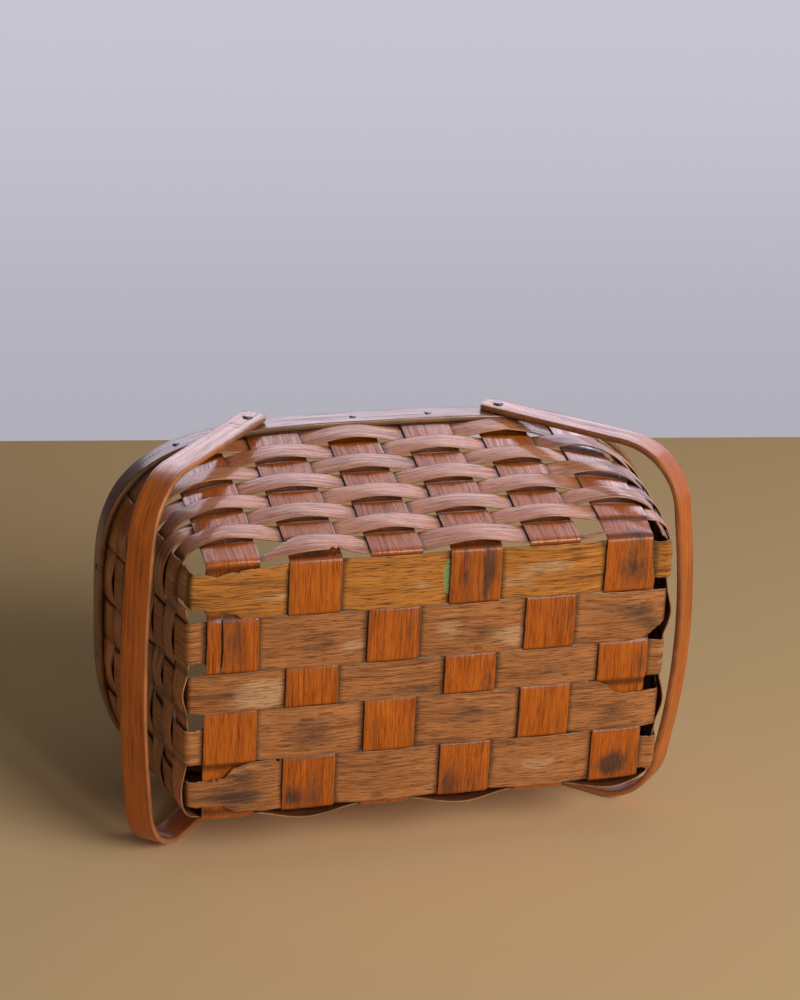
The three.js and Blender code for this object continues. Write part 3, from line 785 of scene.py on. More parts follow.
def wood_finish(name, light, dark, wear, grain, gloss, relief, dull):
    """Varnished splint wood. Wear bares the wood, grain darkens its fibres, gloss is the varnish
    left on it, relief raises its fibres, and dull is how matt its inner side is and how
    far painted shade darkens it."""
    if name in bpy.data.materials:
        return bpy.data.materials[name]
    material, graph, surface = new_finish(name)
    colours, state = settings("colours"), settings("wear")
    bare, stain, paint = (tuple(getattr(colours, key)) for key in ("bare", "stain", "paint"))
    flat, worn, soiled, stained, flecked, rim, inner = [
        graph.node("ShaderNodeAttribute", {"attribute_name": key}, {}, "Fac")
        for key in ("flat", "worn", "soiled", "stained", "flecked", "rim", "inner")
    ]

    # Long patterns along the grain, from fine to broad. Their coordinates drift a little sideways.
    uv = graph.node("ShaderNodeUVMap", {"uv_map": "UVMap"})
    drift = graph.noise(graph.scaled(uv, (11, 30, 0)), 1.0, 2.0)
    sideways = graph.node("ShaderNodeCombineXYZ", {}, {1: (drift - 0.5) * 0.007})
    shifted = graph.node("ShaderNodeVectorMath", {"operation": "ADD"}, {0: uv, 1: sideways})
    fibres = graph.noise(graph.scaled(shifted, (30, 1250, 0)), 1.0, 3.0, 0.6)
    streaks = graph.noise(graph.scaled(shifted, (13, 430, 0), (1, 4, 0)), 1.0, 3.0, 0.62)
    bands = graph.noise(graph.scaled(shifted, (6, 120, 0), (7, 3, 0)), 1.0, 2.0, 0.5)
    patches = graph.noise(graph.scaled(uv, (24, 42, 0), (3, 5, 0)), 1.0, 3.0, 0.6)
    slow = graph.noise(graph.scaled(uv, (7, 9, 0), (5, 1, 0)), 1.0, 1.0)
    cloudy = graph.noise(graph.scaled(uv, (75, 150, 0), (2, 9, 0)), 1.0, 3.0, 0.65)
    pores = graph.noise(graph.scaled(shifted, (70, 1500, 0), (11, 2, 0)), 1.0, 2.0, 0.5)
    pore = graph.between(pores, 0.55, 0.66)

    # The grain, with brighter patches.
    tone = bands * 0.26 + streaks * 0.3 + fibres * 0.44
    wood = graph.blend(dark, light, graph.between(tone + (slow - 0.5) * 0.18, 0.34, 0.54))
    bright = (min(light[0] * 1.4, 1.0), light[1] * 1.5, light[2] * 1.6)
    glow = graph.between(patches * 0.5 + streaks * 0.5, 0.5, 0.68)
    wood = graph.blend(wood, bright, glow * 0.6)

    # Bared wood where the varnish is rubbed off, and along the edges.
    rubbed = patches * 0.45 + streaks * 0.3 + fibres * 0.25 + worn * 0.4
    bared = graph.between(rubbed, 0.68 - wear * 0.22, 0.84 - wear * 0.22)
    bare_lines = graph.between(fibres * 0.5 + streaks * 0.5, 0.42, 0.68)
    wood = graph.blend(wood, graph.blend(bare, dark, bare_lines * 0.55), bared * 0.8)
    wood = graph.blend(wood, dark, pore * grain)
    wood = graph.blend(wood, bare, graph.between(rim, 0.0001, 0.0005, 1.0, 0.0) * 0.35)

    # Soil and painted shade where a splint goes under another, stains, grime along the edges, and
    # the fleck of paint.
    edge = graph.between(rim, 0.0004, 0.0026, 1.0, 0.0)
    grime = edge * graph.between(streaks + patches, 0.85, 1.2) * 0.5
    blot = graph.between(stained * (cloudy * 1.6 + fibres - 0.4), 0.1, 1.5)
    # Painted shade, with some soil, darkens a splint where it goes under another.
    crossing_soil_and_shade = graph.between(soiled * (0.55 + streaks * 0.9), 0.1, 1.1) * state.dirt_and_shade
    wood = graph.blend(wood, tuple(c * 0.3 for c in dark), crossing_soil_and_shade)
    wood = graph.blend(wood, stain, graph.larger(blot * state.dirt_and_shade, grime))
    painted = graph.between(flecked * (0.6 + cloudy * 0.8), 0.42, 0.55)
    wood = graph.blend(wood, paint, painted * (0.5 + fibres * 0.6))

    # The varnish lies in brushed streaks, and is thin on bared and stained wood and on the base.
    rough = 0.58 - gloss * 0.26 + bared * 0.2 + (fibres + streaks - 1.0) * 0.25
    rough = rough + blot * 0.15 + flat * 0.1
    brushed = graph.between(streaks * 0.6 + fibres * 0.4, 0.38, 0.6, 0.45, 1.7)
    left = (1.0 - bared * 0.85) * (1.0 - blot * 0.7) * (1.0 - flat * 0.8)
    height = fibres * 0.5 + streaks * 0.8 - pore * (0.3 + grain * 0.5)
    bump = graph.node(
        "ShaderNodeBump", {}, {"Strength": relief, "Distance": FIBRE_DEPTH, "Height": height}
    )
    graph.fill(
        surface,
        {
            "Base Color": wood,
            "Roughness": rough,
            "Coat Weight": left * brushed * (gloss * state.polish),
            "Coat Roughness": VARNISH_ROUGHNESS,
            "Coat IOR": VARNISH_IOR,
            "IOR": WOOD_IOR,
            "Normal": bump,
        },
    )

    # The side towards the inside is dry and matt, and darkened with painted shade.
    shaded_lining = graph.node(
        "ShaderNodeBsdfPrincipled",
        {},
        {
            "Base Color": graph.blend((0, 0, 0), wood, INNER_SIDE_SHADE),
            "Roughness": 1.0,
            "Specular IOR Level": 0,
            "Normal": bump,
        },
    )
    end_shader(graph, graph.mixed(inner * dull, Signal(graph, surface.outputs[0]), shaded_lining))
    return material


RUST = (0.09, 0.05, 0.035)


def steel_finish():
    """Dull steel with a little rust."""
    name = "Dull steel"
    if name in bpy.data.materials:
        return bpy.data.materials[name]
    material, graph, surface = new_finish(name)
    place = graph.node("ShaderNodeTexCoord", {}, {}, "Object")
    spots = graph.noise(place, 700.0, 3.0, 0.6)
    scratches = graph.noise(graph.scaled(place, (500, 3000, 900)), 1.0, 2.0)
    rust = graph.between(spots, 0.55, 0.7)
    pitted = {"Strength": 0.25, "Distance": 0.0002, "Height": spots + scratches}
    graph.fill(
        surface,
        {
            "Base Color": graph.blend(tuple(settings("colours").steel), RUST, rust * 0.6),
            "Metallic": 0.95 - rust * 0.6,
            "Roughness": 0.34 + rust * 0.3 + (scratches - 0.5) * 0.2,
            "Normal": graph.node("ShaderNodeBump", {}, pitted),
        },
    )
    return material


# The wood of each kind of piece: its name, its colour, how dark its grain is against it (None for
# the deep varnish), and its wear, grain, gloss, relief, and how matt its inner side is and how far
# painted shade darkens it.
WOODS = {
    "stake": ("Varnished splint", "varnish", None, 0.05, 0.55, 1.0, 0.8, 1.0),
    "gold row": ("Golden splint", "gold", 0.3, 0.3, 1.0, 0.6, 0.7, 1.0),
    "row": ("Worn splint", "tan", 0.38, 0.5, 0.7, 0.3, 0.95, 1.0),
    "weaver": ("Glossy weaver", "band", 0.35, 0.12, 0.9, 0.6, 0.8, 1.0),
    "hoop": ("Varnished hoop", "hoop", 0.3, 0.1, 0.6, 0.6, 0.6, 0.6),
    "handle": ("Varnished handle", "handle", 0.42, 0.08, 0.35, 0.6, 0.45, 0.3),
}


def finish_for(kind):
    if kind == "steel":
        return steel_finish()
    name, key, depth, *rest = WOODS[kind]
    colours = settings("colours")
    light = tuple(getattr(colours, key))
    if depth is None:
        dark = tuple(colours.deep)
    else:
        dark = tuple(c * depth * f for c, f in zip(light, (1.0, 0.85, 0.75)))
    return wood_finish(name, light, dark, *rest)


# Tears and stains. All their lengths are in millimetres. Places along a splint are counted from the
# middle of the base, and places across it from its middle line.

# How far the two edges of a row are worn or torn in, as (place, depth) stops. The first edge is the
# one towards the first row.
TORN_ROWS = {
    1: (
        [(-240, 1), (-215, 3), (-195, 3), (-183, 4), (-176, 5), (-164, 6.6), (-154, 4.5), (-141, 3),
         (-127, 2.2), (-112, 1), (-100, 0), (148, 0), (164, 3.2), (172, 4), (200, 3.5), (230, 2),
         (250, 0)],
        [(-240, 2), (-222, 5), (-205, 12), (-191, 13), (-180, 10), (-166, 8.4), (-157, 7.3),
         (-149, 5), (-143, 0.6), (-138, 0), (160, 0), (168, 7.5), (182, 9), (200, 8), (230, 3),
         (250, 0)],
    ),
    2: (
        [(-250, 0), (-215, 3), (-188, 1.5), (-165, 0), (160, 0), (185, 1.5), (215, 4), (250, 0)],
        [(-250, 2), (-220, 6), (-190, 10), (-175, 10), (-166, 8), (-155, 2), (-145, 0), (151, 0),
         (156, 1), (162, 2.4), (171, 6.5), (180, 13), (188, 17), (202, 17), (225, 10), (250, 1)],
    ),
    3: (
        [(-240, 0), (-200, 3), (-178, 1), (-168, 0), (165, 0), (180, 1), (205, 4), (240, 0)],
        [(-240, 0), (-200, 3), (-178, 1), (-168, 0), (165, 0), (175, 1), (205, 4), (240, 0)],
    ),
    4: (
        [(-250, 3), (-220, 10), (-190, 13), (-172, 13), (-166, 10), (-158, 2), (-150, 0), (128, 0),
         (133, 1), (138, 3.2), (143, 7.6), (147, 11), (152, 11.8), (176, 11.5), (200, 10), (235, 4),
         (250, 2)],
        [(-250, 0), (-200, 3), (-175, 1), (-165, 0), (165, 0), (180, 1), (205, 4), (250, 0)],
    ),
    5: (
        [(-250, 3), (-220, 9), (-190, 12.8), (-168, 12.8), (-160, 12), (-153, 10.9), (-149.5, 6),
         (-147, 3.6), (-141, 1.8), (-132, 0.3), (-118, 0), (-114.5, 0), (-113.6, 3), (-112.8, 2.6),
         (-112, 0), (140, 0), (155, 3), (166, 9), (185, 9.4), (220, 6), (250, 2)],
        [(-250, 2), (-220, 6), (-190, 8), (-170, 8), (-154, 7.2), (-149, 3), (-141, 1.6),
         (-128, 0.4), (-120, 0), (150, 0), (160, 3), (168, 5), (200, 5), (250, 1)],
    ),
}

# The same of the cross splints, whose first edge is the left one, and of the first weaver over the
# upper long side, where places are counted along the basket and the first edge is the base's.
TORN_STAKES = {
    1: ([(-66, 0), (-62, 1.4), (-20, 1.6), (20, 0.6), (60, 0)], []),
    6: ([], [(-150, 0), (-122, 0.8), (-108, 2.6), (-97, 3.6), (-80, 3.4), (-76, 2.6), (-71, 0.9),
         (-66, 0)]),
}
TORN_WEAVER = (
    [(-96, 0), (-87, 0.5), (-80, 1.4), (-77, 4.2), (-75, 1.6), (-73, 4.4), (-70, 3.2), (-64, 1.2),
     (-55, 0), (100, 0)],
    [(-166, 16), (-132, 15.4), (-122, 12.5), (-112, 6.5), (-104, 2), (-96, 0), (105, 0),
     (109, 14.5), (134, 16)],
)

# Stained and worn places of the rows and the cross splints, and the fleck of paint, as (place
# along, place across, length, width, strength), and the crack of the first cross splint, as (from,
# to, place across, width).
STAINED_ROWS = {
    1: [(-145, -9, 16, 3, 0.9), (-35, -5, 27, 4, 0.35), (91, -8, 30, 3, 0.3)],
    2: [(-86, 3, 19, 11, 0.85), (38, 4, 20, 10, 0.9), (161, -2, 16, 9, 1.2), (137, -9, 19, 6, 0.7),
        (172, 12, 12, 9, 0.9)],
    3: [(-147, 1, 18, 9, 0.6), (-9, 9, 35, 5, 1.1), (89, 2, 22, 8, 0.8)],
    4: [(-91, 0, 18, 13, 1.1), (31, -4, 23, 12, 0.8), (28, 18, 18, 3, 1.3), (146, 7, 18, 10, 1.0)],
    5: [(-139, -10, 15, 6, 1.5), (-139, 7, 16, 7, 1.5), (-160, 6, 16, 8, 1.0), (-42, 3, 32, 6, 0.4),
        (91, 5, 32, 8, 0.35)],
}
STAINED_STAKES = {
    1: [(-42, -7, 26, 1.6, 0.9), (-38, 3, 24, 9, 0.9), (-88, 0, 10, 12, 0.5), (91, 9, 14, 6, 0.6)],
    2: [(88, -13, 9, 6, 1.4), (-106, 0, 5, 16, 1.3), (70, 4, 30, 1.5, 0.6), (91, 2, 18, 14, 0.8)],
    3: [(-40, 13, 26, 3, 1.0), (48, -12, 22, 3, 0.9), (-50, 2, 26, 1.2, 0.8)],
    4: [(-80, 7, 26, 1.4, 1.2), (-80, -8, 26, 1.2, 1.0), (-84, 12, 24, 5, 1.1),
        (-84, 0, 24, 20, 0.55), (91, 0, 24, 20, 0.85), (91, -13, 22, 4, 0.9), (4, 14, 16, 4, 1.0)],
    5: [(-44, 14, 20, 3, 1.0), (50, 13, 22, 3, 0.9), (46, -3, 22, 1.2, 0.7)],
    6: [(-76, 3, 16, 13, 1.4), (87, -4, 8, 9, 2.0), (-100, 4, 12, 10, 0.9), (84, 6, 24, 16, 0.8),
        (2, 14, 16, 5, 1.0)],
}
WORN_ROWS = {
    1: [(-112, 5, 22, 5, 0.9), (-10, 3, 18, 5, 0.7), (84, -4, 24, 6, 0.9), (60, 8, 20, 4, 0.7)],
    2: [(-60, 8, 16, 6, 0.7), (62, 8, 16, 7, 0.9), (10, 0, 12, 10, 0.5)],
    3: [(-128, 2, 20, 11, 1.1), (34, 3, 14, 6, 0.6)],
    5: [(84, 2, 22, 8, 0.4)],
}
CRACK = (-66, -14, -7.2, 1.5)
PAINT = (9.6, -0.8, 4.4, 13, 1.4)


def in_metres(rows):
    return [tuple(value / 1000 for value in row) for row in rows]


def spots(kind, rows):
    return [(kind, *in_metres([row[:4]])[0], row[4]) for row in rows]


# The half length and strength of a band of soil and painted shade, which is wider than any splint.
SOIL_AND_SHADE_LENGTH, SOIL_AND_SHADE_WIDTH, SOIL_AND_SHADE_STRENGTH = 0.004, 0.2, 0.95


def soiled(path, stops):
    """Bands of soil and painted shade across a splint, just outside the places where it goes under
    another.
    """
    middle = path.length[-1] / 2
    bands = []
    for (s0, o0), (s1, o1) in zip(stops[:-1], stops[1:]):
        if (o0 > 0) != (o1 > 0):
            under = (s0 if o0 < 0 else s1) - middle
            bands.append(("soiled", under, 0, SOIL_AND_SHADE_LENGTH, SOIL_AND_SHADE_WIDTH, SOIL_AND_SHADE_STRENGTH))
    return bands


# The pieces

# A splint is level where it passes another, up to this far inside the other's edges: a cross splint
# at a row, a row at a cross splint, a stake at a weaver, and a weaver under a stake.
CROSS_MARGIN, ROW_MARGIN, STAKE_MARGIN, WEAVER_MARGIN = 0.0012, 0.0005, 0.0015, 0.0003

# How far a cross splint bulges over a row.
CROSS_ARCH = 0.0004

# Waves of an edge's unevenness, the teeth of a tear, and the depth at which they are full.
BROAD_WAVE, FINE_WAVE = 0.05, 0.008
COARSE_TEETH, FINE_TEETH = 0.006, 0.0022
TOOTHED_DEPTH = 0.004


def stake_path(wall, lines, rail, axis):
    """The path of a stake, from the top of one wall down, under the base and up to the other."""
    rim, weave = settings("rim"), settings("weave")
    bend_top = wall.low + weave.bend
    heights = np.arange(rim.height - rim.inset, bend_top, -FINE_STEP)
    turn = np.linspace(0, 1, 9)[:, None, None]
    parts = []
    for side in (-1, 1):
        up = rail(lines[None, :], side, heights[:, None])
        first = rail(lines, side, np.full(len(lines), bend_top))[None]
        corner = rail(lines, side, np.full(len(lines), wall.low))[None]
        last = corner.copy()
        last[..., axis] -= side * weave.bend
        bend = first * (1 - turn) ** 2 + 2 * corner * turn * (1 - turn) + last * turn**2
        parts.append(np.concatenate([up, bend]))
    begin, finish = parts[0][-1], parts[1][-1]
    middle = len(lines) // 2
    count = int(abs(finish[middle, axis] - begin[middle, axis]) / FINE_STEP)
    t = np.linspace(0, 1, count)[1:-1, None, None]
    base = begin[None] * (1 - t) + finish[None] * t
    return Path(np.concatenate([parts[0], base, parts[1][::-1]]), lines)


def columns_across(centre, width):
    return centre + np.linspace(-width / 2, width / 2, STAKE_POINTS_ACROSS)


def crossing(point_at, centre, half, is_over, arch):
    """The stops of a splint where it passes another under the base, as (point, offset)."""
    sign, lace = 1 if is_over else -1, settings("weave").lace
    return [
        (point_at(centre + part * half), sign * (lace + extra))
        for part, extra in ((-1, 0), (0, arch), (1, 0))
    ]


def stake_stops(path, wall, rail_at, is_over, crossings):
    """Where a stake is laced in and out along its path, as (length, offset) stops."""
    rim, lace = settings("rim"), settings("weave").lace
    stops = []
    for side in (-1, 1):
        stops.append((path.near(rail_at(side, rim.height - rim.inset)), 0.0))
        stops.append((path.near(rail_at(side, wall.top)), 0.0))
        for k, (low, high) in enumerate(wall.courses):
            offset = lace if is_over(k + 1, side) else -lace
            for z in (high - STAKE_MARGIN, low + STAKE_MARGIN):
                stops.append((path.near(rail_at(side, z)), offset))
    stops += [(path.near(point), offset) for point, offset in crossings]
    return sorted(stops)


def worn_edges(path, seed, amount, torn=((), ())):
    """How far each edge of a splint is trimmed in: it wanders, and is torn by the stops given."""
    ragged = settings("wear").ragged
    trims = []
    for k, stops in enumerate(torn):
        broad = wander(path.length, BROAD_WAVE, seed + k + 1)
        fine = wander(path.length, FINE_WAVE, seed + k + 51)
        trim = amount * (0.6 + 0.7 * broad + 0.3 * fine)
        if stops:
            at, depth = np.array(in_metres(stops)).T
            tear = np.interp(path.from_middle, at, depth)
            fine_teeth = wander(path.length, FINE_TEETH, seed + k + 90)
            coarse_teeth = wander(path.length, COARSE_TEETH, seed + k + 95)
            teeth = fine_teeth * 0.6 + coarse_teeth * 0.4
            full = np.clip(tear / TOOTHED_DEPTH, 0, 1)
            trim = np.maximum(trim, tear + ragged * 0.5 * teeth * full)
        trims.append(trim)
    return trims


def make_cross_stakes():
    wall, weave = Wall(), settings("weave")
    seed = settings("wear").seed
    for number, x in enumerate(wall.cross, 1):
        path = stake_path(wall, columns_across(x, weave.stake), wall.side, 1)
        crossings = []
        for row, (y, width) in enumerate(zip(wall.rows, wall.row_widths), 1):
            half, is_over = width / 2 - CROSS_MARGIN, (number + row) % 2 == 1
            crossings += crossing(lambda v: (x, v, wall.low), y, half, is_over, CROSS_ARCH)
        stops = stake_stops(
            path,
            wall,
            lambda side, z: wall.side(x, side, z),
            lambda course, side: (number + course) % 2 == 0,
            crossings,
        )
        splint_piece(
            f"cross_splint_{number}",
            path,
            smooth_curve(stops, path.length),
            seed + number,
            worn_edges(path, seed + number * 7, weave.sway, TORN_STAKES.get(number, ((), ()))),
            "stake",
            "stake",
            f"cross_stake_{number}",
            marks=spots("stained", STAINED_STAKES.get(number, [])) + soiled(path, stops),
            columns=11,
            splits=in_metres([CRACK]) if number == 1 else (),
        )


def make_long_stakes():
    wall, weave = Wall(), settings("weave")
    seed = settings("wear").seed + 20
    for number, (y, width) in enumerate(zip(wall.rows, wall.row_widths), 1):
        path = stake_path(wall, columns_across(y, width + weave.row_extra), wall.end, 0)
        half = weave.stake / 2 - ROW_MARGIN
        crossings = []
        for stake, x in enumerate(wall.cross, 1):
            crossings += crossing(
                lambda v: (v, y, wall.low), x, half, (stake + number) % 2 == 0, weave.row_arch
            )
        stops = stake_stops(
            path,
            wall,
            lambda side, z: wall.end(y, side, z),
            lambda course, side: (number + course + (1 if side < 0 else 0)) % 2 == 0,
            crossings,
        )
        marks = spots("stained", STAINED_ROWS[number]) + spots("worn", WORN_ROWS.get(number, []))
        marks += soiled(path, stops) + (spots("flecked", [PAINT]) if number == 1 else [])
        splint_piece(
            f"long_splint_{number}",
            path,
            smooth_curve(stops, path.length),
            seed + number,
            worn_edges(path, seed + number * 7, weave.sway, TORN_ROWS[number]),
            "gold row" if number == 1 else "row",
            "row",
            f"long_stake_{number}",
            marks=marks,
        )


# The length of the wall's corners, for the count of places in them.
CORNER_LENGTH = 0.028


def round_stations(wall, step):
    """Places round the wall, as (kind, sides, value), from the start of the +x end by way of +y."""
    xs = np.linspace(-wall.last_x, wall.last_x, int(2 * wall.last_x / step))
    ys = np.linspace(-wall.last_y, wall.last_y, int(2 * wall.last_y / step))
    corner = np.linspace(0, 1, int(CORNER_LENGTH / step))[1:-1]
    runs = (
        ("end", 1, 0, ys),
        ("corner", 1, 1, corner[::-1]),
        ("side", 0, 1, xs[::-1]),
        ("corner", -1, 1, corner),
        ("end", -1, 0, ys[::-1]),
        ("corner", -1, -1, corner[::-1]),
        ("side", 0, -1, xs),
        ("corner", 1, -1, corner),
    )
    return [(kind, x_side, y_side, v) for kind, x_side, y_side, values in runs for v in values]


def station_points(wall, station, z):
    kind, x_side, y_side, value = station
    if kind == "side":
        return wall.side(value, y_side, z)
    if kind == "end":
        return wall.end(value, x_side, z)
    return wall.corner(x_side, y_side, value, z)


def weaver_stops(path, wall, course, height):
    """The lace and the lean of a weaver at the stakes that it passes, as (length, offset, lean)."""
    weave = settings("weave")
    stops = []

    def passed(point_at, centre, width, is_over, over_arch):
        if is_over:
            stops.append((path.near(point_at(centre)), weave.lace + over_arch, weave.tilt))
            return
        half = width / 2 - WEAVER_MARGIN
        for part, extra in ((-1, 0), (0, min(weave.under_arch, over_arch)), (1, 0)):
            stops.append((path.near(point_at(centre + part * half)), -weave.lace - extra, 0))

    for side in (-1, 1):
        for i, x in enumerate(wall.cross):
            is_over = (course % 2 == 1) == (i % 2 == 1)
            passed(lambda v: wall.side(v, side, height), x, weave.stake, is_over, weave.over_arch)
        for j, y in enumerate(wall.rows):
            first_over = j % 2 == 1 if side > 0 else j % 2 == 0
            arch = weave.grip_arch if side > 0 else weave.end_arch
            is_over = (course % 2 == 1) == first_over
            passed(lambda v: wall.end(v, side, height), y, wall.row_widths[j], is_over, arch)
    return sorted(stops)


# Where the first weaver is gone: from a place on the left end to one on the upper side, and from
# a place on that side to a part of its right corner. Then the teeth of its torn edges.
GONE_LEFT = (-0.068, -0.160)
GONE_RIGHT = (0.134, 0.45)
WEAVER_TEETH, WEAVER_TEETH_DEPTH = 0.002, 0.0006


def first_weaver_damage(path, wall):
    """How far the edges of the first weaver are torn in over the upper long side, and where it is
    gone: round the upper left corner, and from the fifth cross splint to the upper right corner."""
    z = wall.courses[0][0]
    edges = []
    for stops in TORN_WEAVER:
        at = [path.near(wall.side(x / 1000, -1, z)) for x, _ in stops]
        depth = [d / 1000 for _, d in stops]
        edges.append(np.interp(path.length, at, depth, left=0, right=0))
    teeth = wander(path.length, WEAVER_TEETH, 77) * WEAVER_TEETH_DEPTH
    edges = [edge + teeth * np.clip(edge / TOOTHED_DEPTH, 0, 1) for edge in edges]
    gone = np.zeros(len(path.length), bool)
    for begin, finish in (
        (wall.end(GONE_LEFT[0], -1, z), wall.side(GONE_LEFT[1], -1, z)),
        (wall.side(GONE_RIGHT[0], -1, z), wall.corner(1, -1, GONE_RIGHT[1], z)),
    ):
        s0, s1 = path.near(begin), path.near(finish)
        gone |= (path.length > s0) & (path.length < s1)
    return edges, gone


def make_weavers():
    wall, weave = Wall(), settings("weave")
    seed = settings("wear").seed + 40
    for course, (low, high) in enumerate(wall.courses, 1):
        stations = round_stations(wall, FINE_STEP if course == 1 else COARSE_STEP)
        # The loop starts and ends under a stake of the +x end.
        first_y = 0 if course % 2 == 1 else wall.rows[1]
        start = next(n for n, station in enumerate(stations) if station[3] > first_y)
        heights = np.linspace(low, high, POINTS_ACROSS)
        order = stations[start:] + stations[:start]
        path = Path(np.stack([station_points(wall, s, heights) for s in order]), heights)
        total = path.length[-1] + np.linalg.norm(path.middle[0] - path.middle[-1])
        stops = weaver_stops(path, wall, course, (low + high) / 2)
        # The last stops come again before the first, and the first after the last.
        before = [(s - total, offset, lean) for s, offset, lean in stops[-3:]]
        after = [(s + total, offset, lean) for s, offset, lean in stops[:3]]
        stops = before + stops + after
        laces = [(s, offset) for s, offset, _ in stops]
        leans = [(s, lean) for s, _, lean in stops]
        edges = worn_edges(path, seed + course * 7, weave.sway)
        gone = None
        if course == 1:
            torn, gone = first_weaver_damage(path, wall)
            edges = [np.maximum(edge, tear) for edge, tear in zip(edges, torn)]
        splint_piece(
            f"weaver_band_{course}",
            path,
            smooth_curve(laces, path.length),
            seed + course,
            edges,
            "weaver",
            "weaver",
            f"weaver_{course}",
            marks=soiled(path, laces),
            columns=5,
            closed=True,
            tilt=smooth_curve(leans, path.length),
            gone=gone,
        )


HOOP_SWAY = 0.00015


def make_hoops():
    wall, rim = Wall(), settings("rim")
    seed = settings("wear").seed + 60
    stations = round_stations(wall, COARSE_STEP)
    face = HALF_SPLINT + rim.gap
    count = HOOP_POINTS_ACROSS
    for name, node, side, inner, thickness in (
        ("outer_rim_hoop", "rim_outer_hoop", 1, face, rim.outer),
        ("inner_rim_hoop", "rim_inner_hoop", -1, -face - rim.inner, rim.inner),
    ):
        # The lap lies in the middle of a long side.
        start = next(
            n
            for n, (kind, _, y_side, x) in enumerate(stations)
            if kind == "side" and y_side == side and x * side < rim.scarf / 2
        )
        order = stations[start:] + stations[:start]
        heights = np.linspace(wall.top, rim.height, count)
        points = np.stack([station_points(wall, s, np.full(count, rim.height)) for s in order])
        points[..., 2] = heights
        middle = points[:, count // 2]
        run = lengths_along(middle)
        overlap = int(np.searchsorted(run, rim.scarf)) + 1
        path = Path(np.concatenate([points, points[:overlap]]), heights)
        total = run[-1] + np.linalg.norm(middle[0] - middle[-1])
        # The near end grows from its tip, and the far end thins to its own over it.
        s = path.length
        most = thickness - rim.tip - rim.gap
        near = rim.tip + (most - rim.tip) * np.clip(s / rim.scarf, 0, 1)
        far = most - (most - rim.tip) * np.clip((s - total) / rim.scarf, 0, 1)
        in_near, in_far = s < rim.scarf, s > total
        thick = np.where(in_near, near, np.where(in_far, far, thickness))
        offset = np.where(in_far, inner + thickness - thick / 2, inner + thick / 2)
        edges = worn_edges(path, seed + 7 * side, HOOP_SWAY)
        mesh = sheet(
            name, path, offset, HOOP_LIE.radius, seed + side, edges, thin=thick / thickness,
            columns=5,
        )
        strip_piece(
            name, mesh, thickness, HOOP_LIE, seed + side, finish_for("hoop"), "basket", node
        )


HANDLE_SWAY = 0.0002

# Points in a handle's bend and along its grip, and how often the line between them is eased.
BEND_POINTS, GRIP_POINTS, EASINGS = 40, 90, 12

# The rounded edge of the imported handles, and the rounded corners of their legs' ends.
PACKED_EDGE = 0.0011
END_ROUND = 0.003

# Old cracks of the left handle, as stains: place along, place across, length, width, strength.
HANDLE_CRACKS = (
    (0.030, 0.002, 0.0007, 0.006, 1.6),
    (0.036, -0.003, 0.0006, 0.004, 1.4),
    (0.055, 0.004, 0.0005, 0.004, 1.0),
)


def handle_line(inner_leg):
    """The middle line of a handle in its own plane, as (y, z) from one leg's end to the other's."""
    sizes = settings("handle")
    half = sizes.thickness / 2
    outer = inner_leg + sizes.thickness
    r = sizes.corner
    grip = outer - r
    leg = [(-outer + half, z) for z in np.arange(-sizes.end, sizes.reach - r, COARSE_STEP)]
    turn = [
        (-grip - (r - half) * math.cos(t), sizes.reach - r + (r - half) * math.sin(t))
        for t in np.linspace(0, math.pi / 2, BEND_POINTS)
    ]
    across = np.linspace(-1, 1, GRIP_POINTS)[1:-1]
    bar = [(grip * t, sizes.reach - half + sizes.bow * (1 - t * t)) for t in across]
    first = leg + turn
    line = np.array(first + bar + [(-y, z) for y, z in reversed(first)])
    # The grip's bow meets the bends at a small angle, which is eased over its neighbours.
    for _ in range(EASINGS):
        line[1:-1] = line[1:-1] * 0.5 + (line[:-2] + line[2:]) * 0.25
    return line


def leg_inner_face(wall, pivot):
    """How far from the basket's middle line a leg's inner face lies, just clear of the hoop."""
    rim = settings("rim")
    point = wall.side(pivot - settings("handle").end, 1, rim.height)
    return point[1] + (HALF_SPLINT + rim.gap + rim.outer) * wall.outward(point)[1] + rim.gap


# The least and the most that a handle may hang below the rim, in degrees, and the tries between.
HANG_RANGE, HANG_TRIES = (30, 70), 4001


def hang_of(node, side, pivot):
    """The angle below the rim at which a handle hangs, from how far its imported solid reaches."""
    low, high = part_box(node)
    far = abs((high if side > 0 else low)[0] - basket_frame()[1][0])
    sizes = settings("handle")
    angles = np.radians(np.linspace(*HANG_RANGE, HANG_TRIES))
    grip = pivot + (sizes.reach + sizes.bow) * np.cos(angles)
    grip = grip + (sizes.width / 2 - PACKED_EDGE) * np.sin(angles)
    return angles[np.argmin(np.abs(grip - far))]


# How far a bit reaches either way.
BIT_REACH = 0.012


def drilled(mesh, points, direction, radius):
    """Bores a hole through a mesh at each point."""
    turn = Vector(direction).to_track_quat("Z", "Y").to_matrix().to_4x4()
    piece = linked("bored", mesh)
    profile = [(0, -BIT_REACH), (radius, -BIT_REACH), (radius, BIT_REACH), (0, BIT_REACH)]
    bits = []
    for point in points:
        bit = linked("bit", turned_pin("bit", profile))
        bit.matrix_world = Matrix.Translation(Vector(point)) @ turn
        cutter = piece.modifiers.new("Bore", "BOOLEAN")
        cutter.operation, cutter.solver, cutter.object = "DIFFERENCE", "EXACT", bit
        bits.append(bit)
    bpy.context.view_layer.update()
    made = plain_mesh(piece)
    made.name = mesh.name
    for spare in (piece, *bits):
        bpy.data.objects.remove(spare)
    return made


